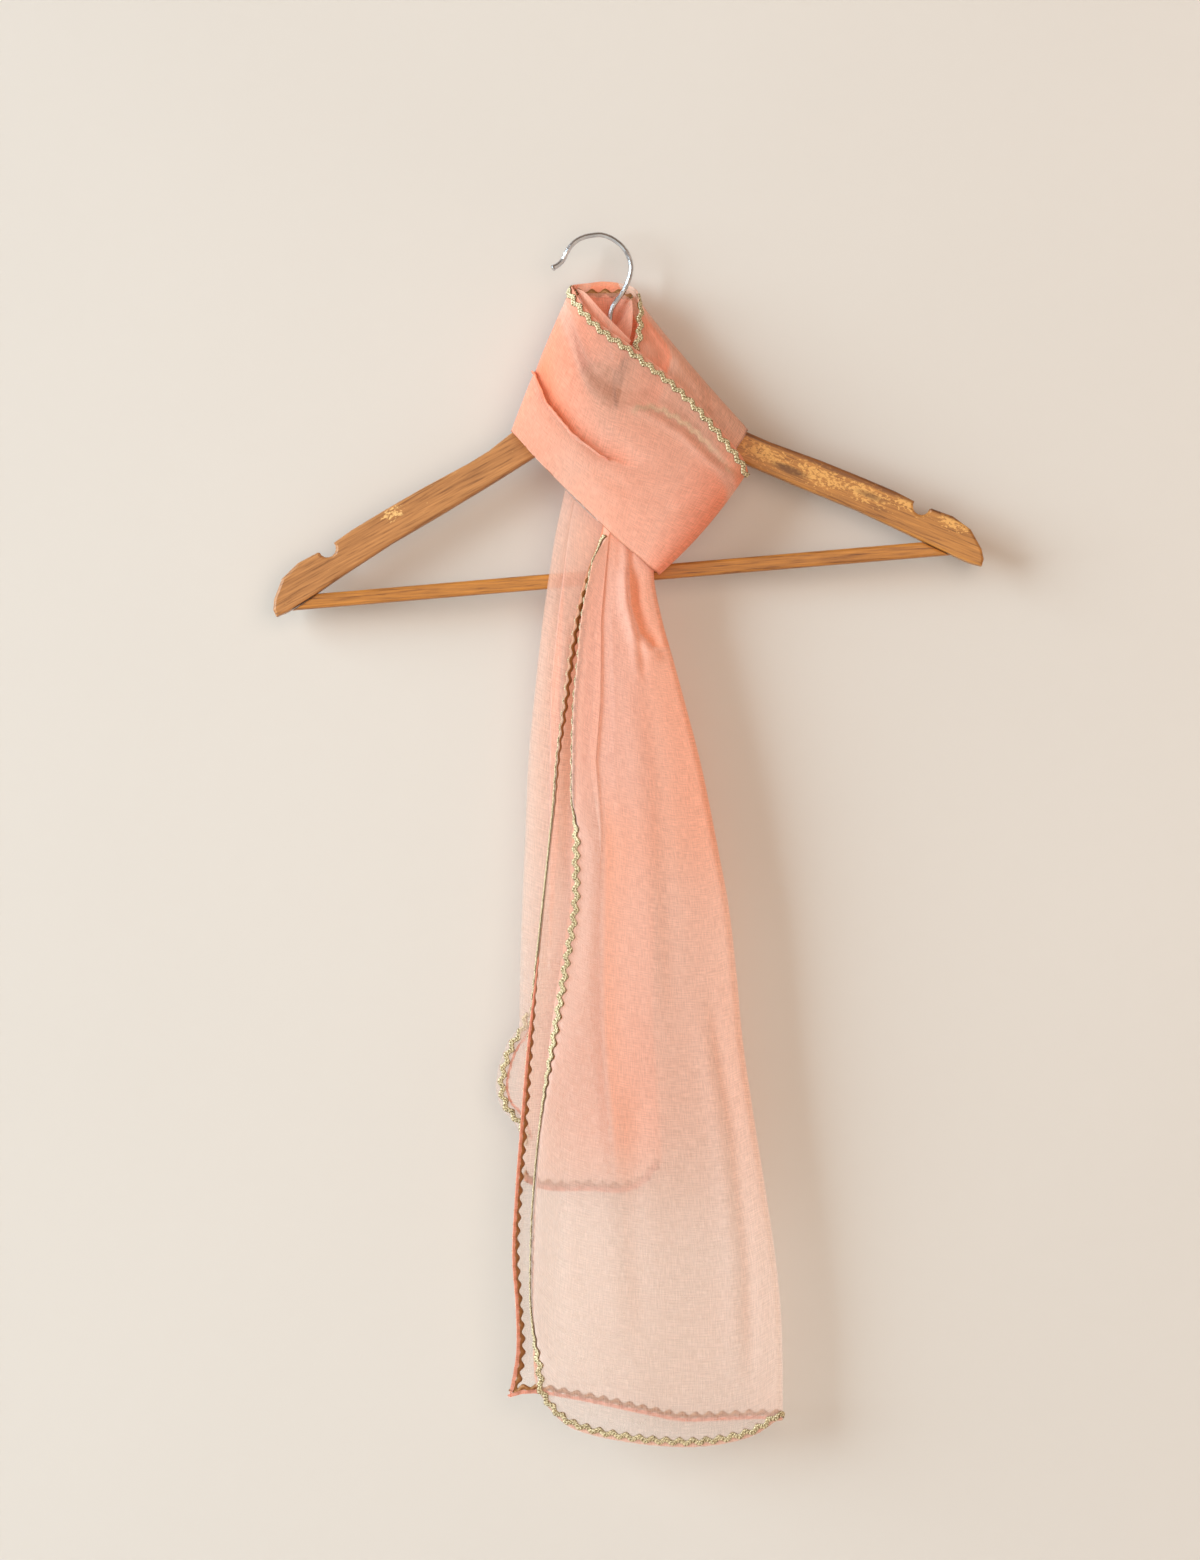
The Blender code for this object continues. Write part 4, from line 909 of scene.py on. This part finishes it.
FRONT_GATHER = rows_of(
    Gather,
    (-176, 0.9, 0.8, 0.6),
    (-240, 0.7, 0.36, 0.7),
    (-327, 0.4, 0.2, 0.78),
    (-375, 0.1, 0.12, 0.66),
    (-414, -0.05, 0.05, 0.44),
    (-508, -0.05, 0, 0.34),
    (-570, 0, -0.02, 0.2),
    (-640, -0.04, -0.03, 0.06),
    (-760, -0.04, -0.04, 0.04),
)
grid, tone, front, turn = tail_layout(
    (FRONT_TAIL, FRONT_TOP, FRONT_HEM), FRONT_GATHER, np.linspace(0, 1, 321), (90, 60),
    FRONT_FOLDS, BACK_LAYER_FOLDS, FRONT_TUCKS, SETTLE_FROM)
tail_cloth = cloth("sheer_peach_tail", cover=(0.36, 0.9))
front_tail = sheet_piece("front_tail_cloth", grid, tone, tail_cloth)
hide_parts("front_tail")
last = grid.shape[1] - 1
far = grid.shape[0] - 1
side_rows = range(5, last - 2)


def margin_path(edge_column, over, hem_columns, rows, last, hem_step=4):
    """Down a free edge, then along the hem to the fold."""
    path = [((edge_column, j), (over, j)) for j in rows]
    path += [((i, last), (i, last - hem_step)) for i in hem_columns]
    return path


fold_middle = front + turn // 2
HEM_SHOWS = -448             # above this height the under edge is rolled over its own hem
edge = edge_of(grid, margin_path(0, MARGIN_COLUMNS, range(1, fold_middle), side_rows, last))
front_braid = braid_piece("front_tail_gilt_braid", "front_tail_braid", edge)
front_hem = hem_piece("front_tail_hem", edge, hem_front)
edge = edge_of(grid, margin_path(far, far - MARGIN_COLUMNS, range(far - 1, fold_middle, -1),
                                 side_rows, last))
under_braid = braid_piece("under_layer_gilt_braid", "under_layer_braid", edge)
low_rows = [j for j in side_rows if grid[far, j, 2] < HEM_SHOWS]
edge = edge_of(grid, margin_path(far, far - MARGIN_COLUMNS, range(far - 1, fold_middle, -1),
                                 low_rows, last))
under_hem = hem_piece("under_layer_hem", edge, hem_reverse, (0, 2.3))

# Back tail. The end that comes from the band, shorter, hanging behind the front one. The corner
# of its under layer has turned out to the left, so that its braid shows there.
BACK_TAIL = rows_of(
    Tail,
    (-158, -20.5, 26.8, -20, -8.8, -6.1, 0, 0),
    (-186, -26.5, 27.2, -26, -8.8, -6.1, 0, 0),
    (-215, -31, 31, -30.5, -8.8, -6.1, 0, 0),
    (-240, -34.5, 34.5, -34, -7.6, -4.5, 0, 0),
    (-290, -40, 36, -39, -5.5, -1.5, 0, 0),
    (-327, -43.4, 36, -42, -5, -0.5, 0, 0),
    (-370, -45.2, 36, -44, -5, 0, 0, 0),
    (-430, -47.8, 35, -46.8, -5, 0, 0, 0),
    (-485, -49, 34.2, -48, -5, 0, 0, 0),
    (-494, -49, 34.5, -50, -5, 0, 0, 0),
    (-503, -49, 35, -56.2, -5, 0, 0, 0),
    (-517, -48.8, 36, -61.6, -5, 0, 0, 0),
    (-533, -48.5, 37, -63.6, -5, 0, 0, 0),
    (-545, -48.2, 38, -59.6, -5, 0, 0, 0),
    (-554, -47.8, 38.5, -52, -5, 0, 0, 0),
    (-575, -47, 40, -46.5, -5, 0, 0, 0),
    (-600, -46, 38, -45, -5, 0, 0, 0),
)
BACK_TOP = [Hem(0, -158.2, -158.2), Hem(1, -198.6, -198.6)]
BACK_HEM = rows_of(
    Hem,
    (0, -589, -587),
    (0.12, -594, -590),
    (0.5, -595.5, -591.5),
    (0.8, -595.5, -590),
    (0.93, -589, -585),
    (1, -579.5, -579.5),
)
BACK_FOLDS = rows_of(
    Fold,
    ([(-16, -236), (-18, -270), (-20, -340), (-22, -420)], 1, 1.2, 5, 0.2),
    ([(4, -240), (6, -300), (0, -420), (2, -540)], 1, 1.2, 8, 0.2),
)
BACK_GATHER = rows_of(
    Gather,
    (-158, 0.3, 0.55, 0.4),
    (-290, 0.25, 0.7, 0.2),
    (-400, 0.1, 0.4, 0.3),
    (-520, 0.05, 0.5, 0.55),
    (-560, 0.05, 0.45, 0.5),
    (-600, 0, 0.1, 0),
)
BACK_TUCKS = [
    Tuck([(-24, -150), (-28, -215), (-30, -290), (-31, -400), (-30, -500)], -7, 0.5),
]
grid, tone, front, turn = tail_layout(
    (BACK_TAIL, BACK_TOP, BACK_HEM), BACK_GATHER, np.linspace(0, 1, 241), (60, 40),
    BACK_FOLDS, [], BACK_TUCKS)
back_cloth = cloth("sheer_peach_back_tail", cover=(0.3, 0.8))
back_tail = sheet_piece("back_tail_cloth", grid, tone, back_cloth)
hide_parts("back_tail")
last = grid.shape[1] - 1
far = grid.shape[0] - 1
edge = edge_of(grid, margin_path(0, MARGIN_COLUMNS, range(front), [], last), -1)
back_hem_braid = braid_piece("back_hem_gilt_braid", "back_hem_braid", edge, wide=1.35)
back_hem = hem_piece("back_tail_hem", edge, hem_reverse)
drop = grid[far, :, 2]
corner_rows = np.flatnonzero((drop < -482) & (drop > -566)).tolist()
edge = edge_of(grid, [((far, j), (far - MARGIN_COLUMNS, j)) for j in corner_rows], -1)
corner_braid = braid_piece("corner_gilt_braid", "corner_braid", edge)
corner_hem = hem_piece("corner_hem", edge, hem_reverse, (6.2, 7.6))

# Return. The band's cloth turned back behind the front tail, from the band's turned edge to the
# top of the back tail.
RETURN = rows_of(
    Station,
    (86, -141.5, -9.1, 34.4, -206.5, -9.1, 0, 1, -1),
    (76, -137, -8.8, 33, -203, -8.8, 0, 0.5, -0.5),
    (61, -132.8, -8.8, 31.8, -200.2, -8.8),
    (43, -130.8, -8.8, 30.4, -198.4, -8.8),
    (25, -131.2, -8.8, 29, -197.3, -8.8),
    (8, -135.5, -8.8, 27.7, -196.8, -8.8),
    (-7.5, -144, -8.8, 26.5, -196.6, -8.8),
    (-20.5, -157.4, -8.8, 25.2, -196.9, -8.8),
)
grid, tone = loop_grid(RETURN, 30, station_rows(RETURN), face=-1)
grid, tone = doubled(grid, tone + 0.2, -1, 4, 0.9)
band_return = sheet_piece("band_return_cloth", grid, tone, loop_cloth, -1)
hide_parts("band_return")

# Band. The folded length that comes round the left of the neck, crosses over the front, and turns
# in at the lower right. A deep pleat runs down from its left side, and the braid of its under
# layer shows through a little way in from the outer one.
BAND = rows_of(
    Station,
    (-4, -27.5, 9, -32, -130, 9.5),
    (-12.5, -28.5, 8, -49.5, -117.5, 8.2, 0.5, -0.5, 0),
    (-16.2, -30, 1.5, -54, -121.4, 1.5, 0, -1, 0),
    (-15, -34, -7, -53.6, -122.4, -9, 0.5, -1, 0),
    (-10.5, -42, -14, -48.5, -128, -14.5, 2.5, -0.2, 0),
    (-2.5, -51.8, -17.5, -38.5, -139.5, -18.5, 5, 0.5, 0),
    (7, -60, -19, -24, -154.5, -20.5, 7, 0, 0),
    (17, -66.8, -20, -10, -168.5, -21.5, 7.5, 0, 0),
    (30, -77, -20.5, 3, -181.5, -22, 7.5, 0, 0),
    (46, -89.5, -20.5, 15, -192.8, -22, 7, 0, 0),
    (63, -106, -20.5, 25.5, -201.5, -22, 6, 0.3, -0.3),
    (79, -125, -19.8, 32, -207.5, -21.5, 5, 1, -1),
    (89.5, -138.5, -17.8, 36, -210, -20.5, 3, 1.7, -1.6),
    (93.3, -147, -14.6, 38, -211.8, -16, 0.5, 2, -1.8),
    (91.5, -145.3, -11, 37, -210.5, -11.4, 0, 1.7, -1.6),
    (86, -141.5, -9.1, 34.4, -206.5, -9.1, 0, 1, -1),
)
BAND_FOLDS = rows_of(
    Fold,
    ([(-56, -62), (-44, -76), (-38, -86), (-31, -104), (-15, -124), (2, -138), (17, -144),
      (34, -147)], 1.2, 2.6, 11, 0.8),
    ([(21, -106), (38, -113), (54, -123), (70, -139), (88, -151)], 1, 1.6, 4, 0.3),
    ([(-6, -150), (18, -163), (42, -168), (64, -166)], 0.9, 0.9, 6, 0.1),
)
BAND_TUCKS = [
    Tuck([(-56, -62), (-44, -76), (-38, -86), (-31, -104), (-15, -124), (2, -138), (14, -142),
          (28, -146)], -3.4, 0.4),
]
BAND_INSET = [(0, 13), (4, 14), (6, 30), (7.5, 30), (8.5, 19), (15, 17)]
band_cloth = cloth("sheer_peach_band", pale=colour(249, 202, 179), deep=colour(248, 158, 120),
                   cover=(0.66, 0.97))
grid, tone = loop_grid(BAND, 80, station_rows(BAND), BAND_FOLDS, face=-1)
grid, tone = tucked(grid, tone, BAND_TUCKS, -1, MARGIN_COLUMNS)
rows = range(PER_STATION, (len(BAND) - 1) * PER_STATION + 1)
edge = edge_of(grid, [((0, j), (MARGIN_COLUMNS, j)) for j in rows], side=-1)
at, inset = zip(*BAND_INSET)
inset = smooth(at, inset, np.linspace(0, len(BAND) - 1, grid.shape[1]))[:, 0]
reach = np.linalg.norm(np.diff(grid, axis=0), axis=2).cumsum(axis=0)
tone[1:] -= 0.9 * np.exp(-((reach - inset - 0.4 * MARGIN) / 5) ** 2)  # lets the braid through
station = np.linspace(0, len(BAND) - 1, grid.shape[1])
# Deeper towards the lower right end, where the band turns in: painted shade, as that end turns away
# from the light.
tone += 0.75 * smooth((10.2, 12.2), (0, 1), station)[:, 0]
tone += 0.6 * smooth((3.5, 7), (1, 0), station)[:, 0]
tone -= 0.22 * smooth((5, 7, 9, 10.5), (0, 1, 1, 0), station)[:, 0]
grid, tone = doubled(grid, tone, -1, inset, 2.4)
band = sheet_piece("front_band_cloth", grid, tone, band_cloth, -1)
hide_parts("front_band")
band_braid = braid_piece("band_gilt_braid", "band_braid", edge)
band_hem = hem_piece("band_hem", edge, hem_front)
far = grid.shape[0] - 1
rows = range(8 * PER_STATION, 12 * PER_STATION + 6)
edge = edge_of(grid, [((far, j), (far - MARGIN_COLUMNS, j)) for j in rows])
inner_braid = braid_piece("band_inner_gilt_braid", None, edge)
inner_hem = hem_piece("band_inner_hem", edge, hem_front)

# Wall, floor and light. A plain pale wall close behind the hanger and a pale floor below, in a
# soft light from far to the left with a wide fill from the front.
WALL_AT = 0.02
material, add, end = start_material("pale_wall")
place = add("TexCoord").outputs["Object"]
mottle = add("TexNoise", {"Vector": place, "Scale": 2.2, "Detail": 2})
paint = add("ValToRGB", {"Fac": mottle})
stops(paint, (0.3, (0.625, 0.585, 0.535, 1)), (0.7, (0.645, 0.605, 0.555, 1)))
grit = add("TexNoise", {"Vector": place, "Scale": 700, "Detail": 2})
relief = add("Bump", {"Height": grit, "Strength": 0.1, "Distance": 0.0002})
front_side = add("BsdfPrincipled", {"Base Color": paint, "Roughness": 0.9,
                                    "Normal": relief})
clear = add("BsdfTransparent")
backs = add("NewGeometry").outputs["Backfacing"]
end(add("MixShader", {0: backs, 1: front_side, 2: clear}))


def plane(name, spot, tilt):
    """A big painted plane at a spot, tilted up from level."""
    bpy.ops.object.select_all(action="DESELECT")
    bpy.ops.mesh.primitive_plane_add(size=6, location=spot, rotation=(tilt, 0, 0))
    piece = bpy.context.active_object
    piece.name = name
    bpy.ops.object.transform_apply(location=True, rotation=True, scale=True)
    piece.data.materials.append(material)
    return piece


wall = plane("wall", (0, WALL_AT, 0.4), math.pi / 2)
wall.visible_shadow = False
floor = plane("floor", (0, WALL_AT - 3, -1.4), 0)


def lamp(name, spot, target, size, power, tint):
    """A square soft light at a spot, turned to a target."""
    data = bpy.data.lights.new(name, "AREA")
    data.size = size
    data.energy = power
    data.color = tint
    light = bpy.data.objects.new(name, data)
    light.location = spot
    right, ahead, up = np.array(target, float) - np.array(spot, float)
    light.rotation_euler = (math.atan2(math.hypot(right, ahead), -up), 0,
                            math.atan2(ahead, right) - math.pi / 2)
    bpy.context.scene.collection.objects.link(light)


lamp("key_light", (-6.4, -2.8, 1.2), (0, 0, -0.35), 5, 954, (0.72, 0.885, 0.98))
lamp("fill_light", (1, -3.2, 0.2), (0, 0, -0.35), 2.8, 50, (1, 0.78, 0.63))
world = bpy.data.worlds.new("studio")
world.use_nodes = True
world.node_tree.nodes["Background"].inputs["Color"].default_value = (1, 0.72, 0.545, 1)
world.node_tree.nodes["Background"].inputs["Strength"].default_value = 0.325
bpy.context.scene.world = world
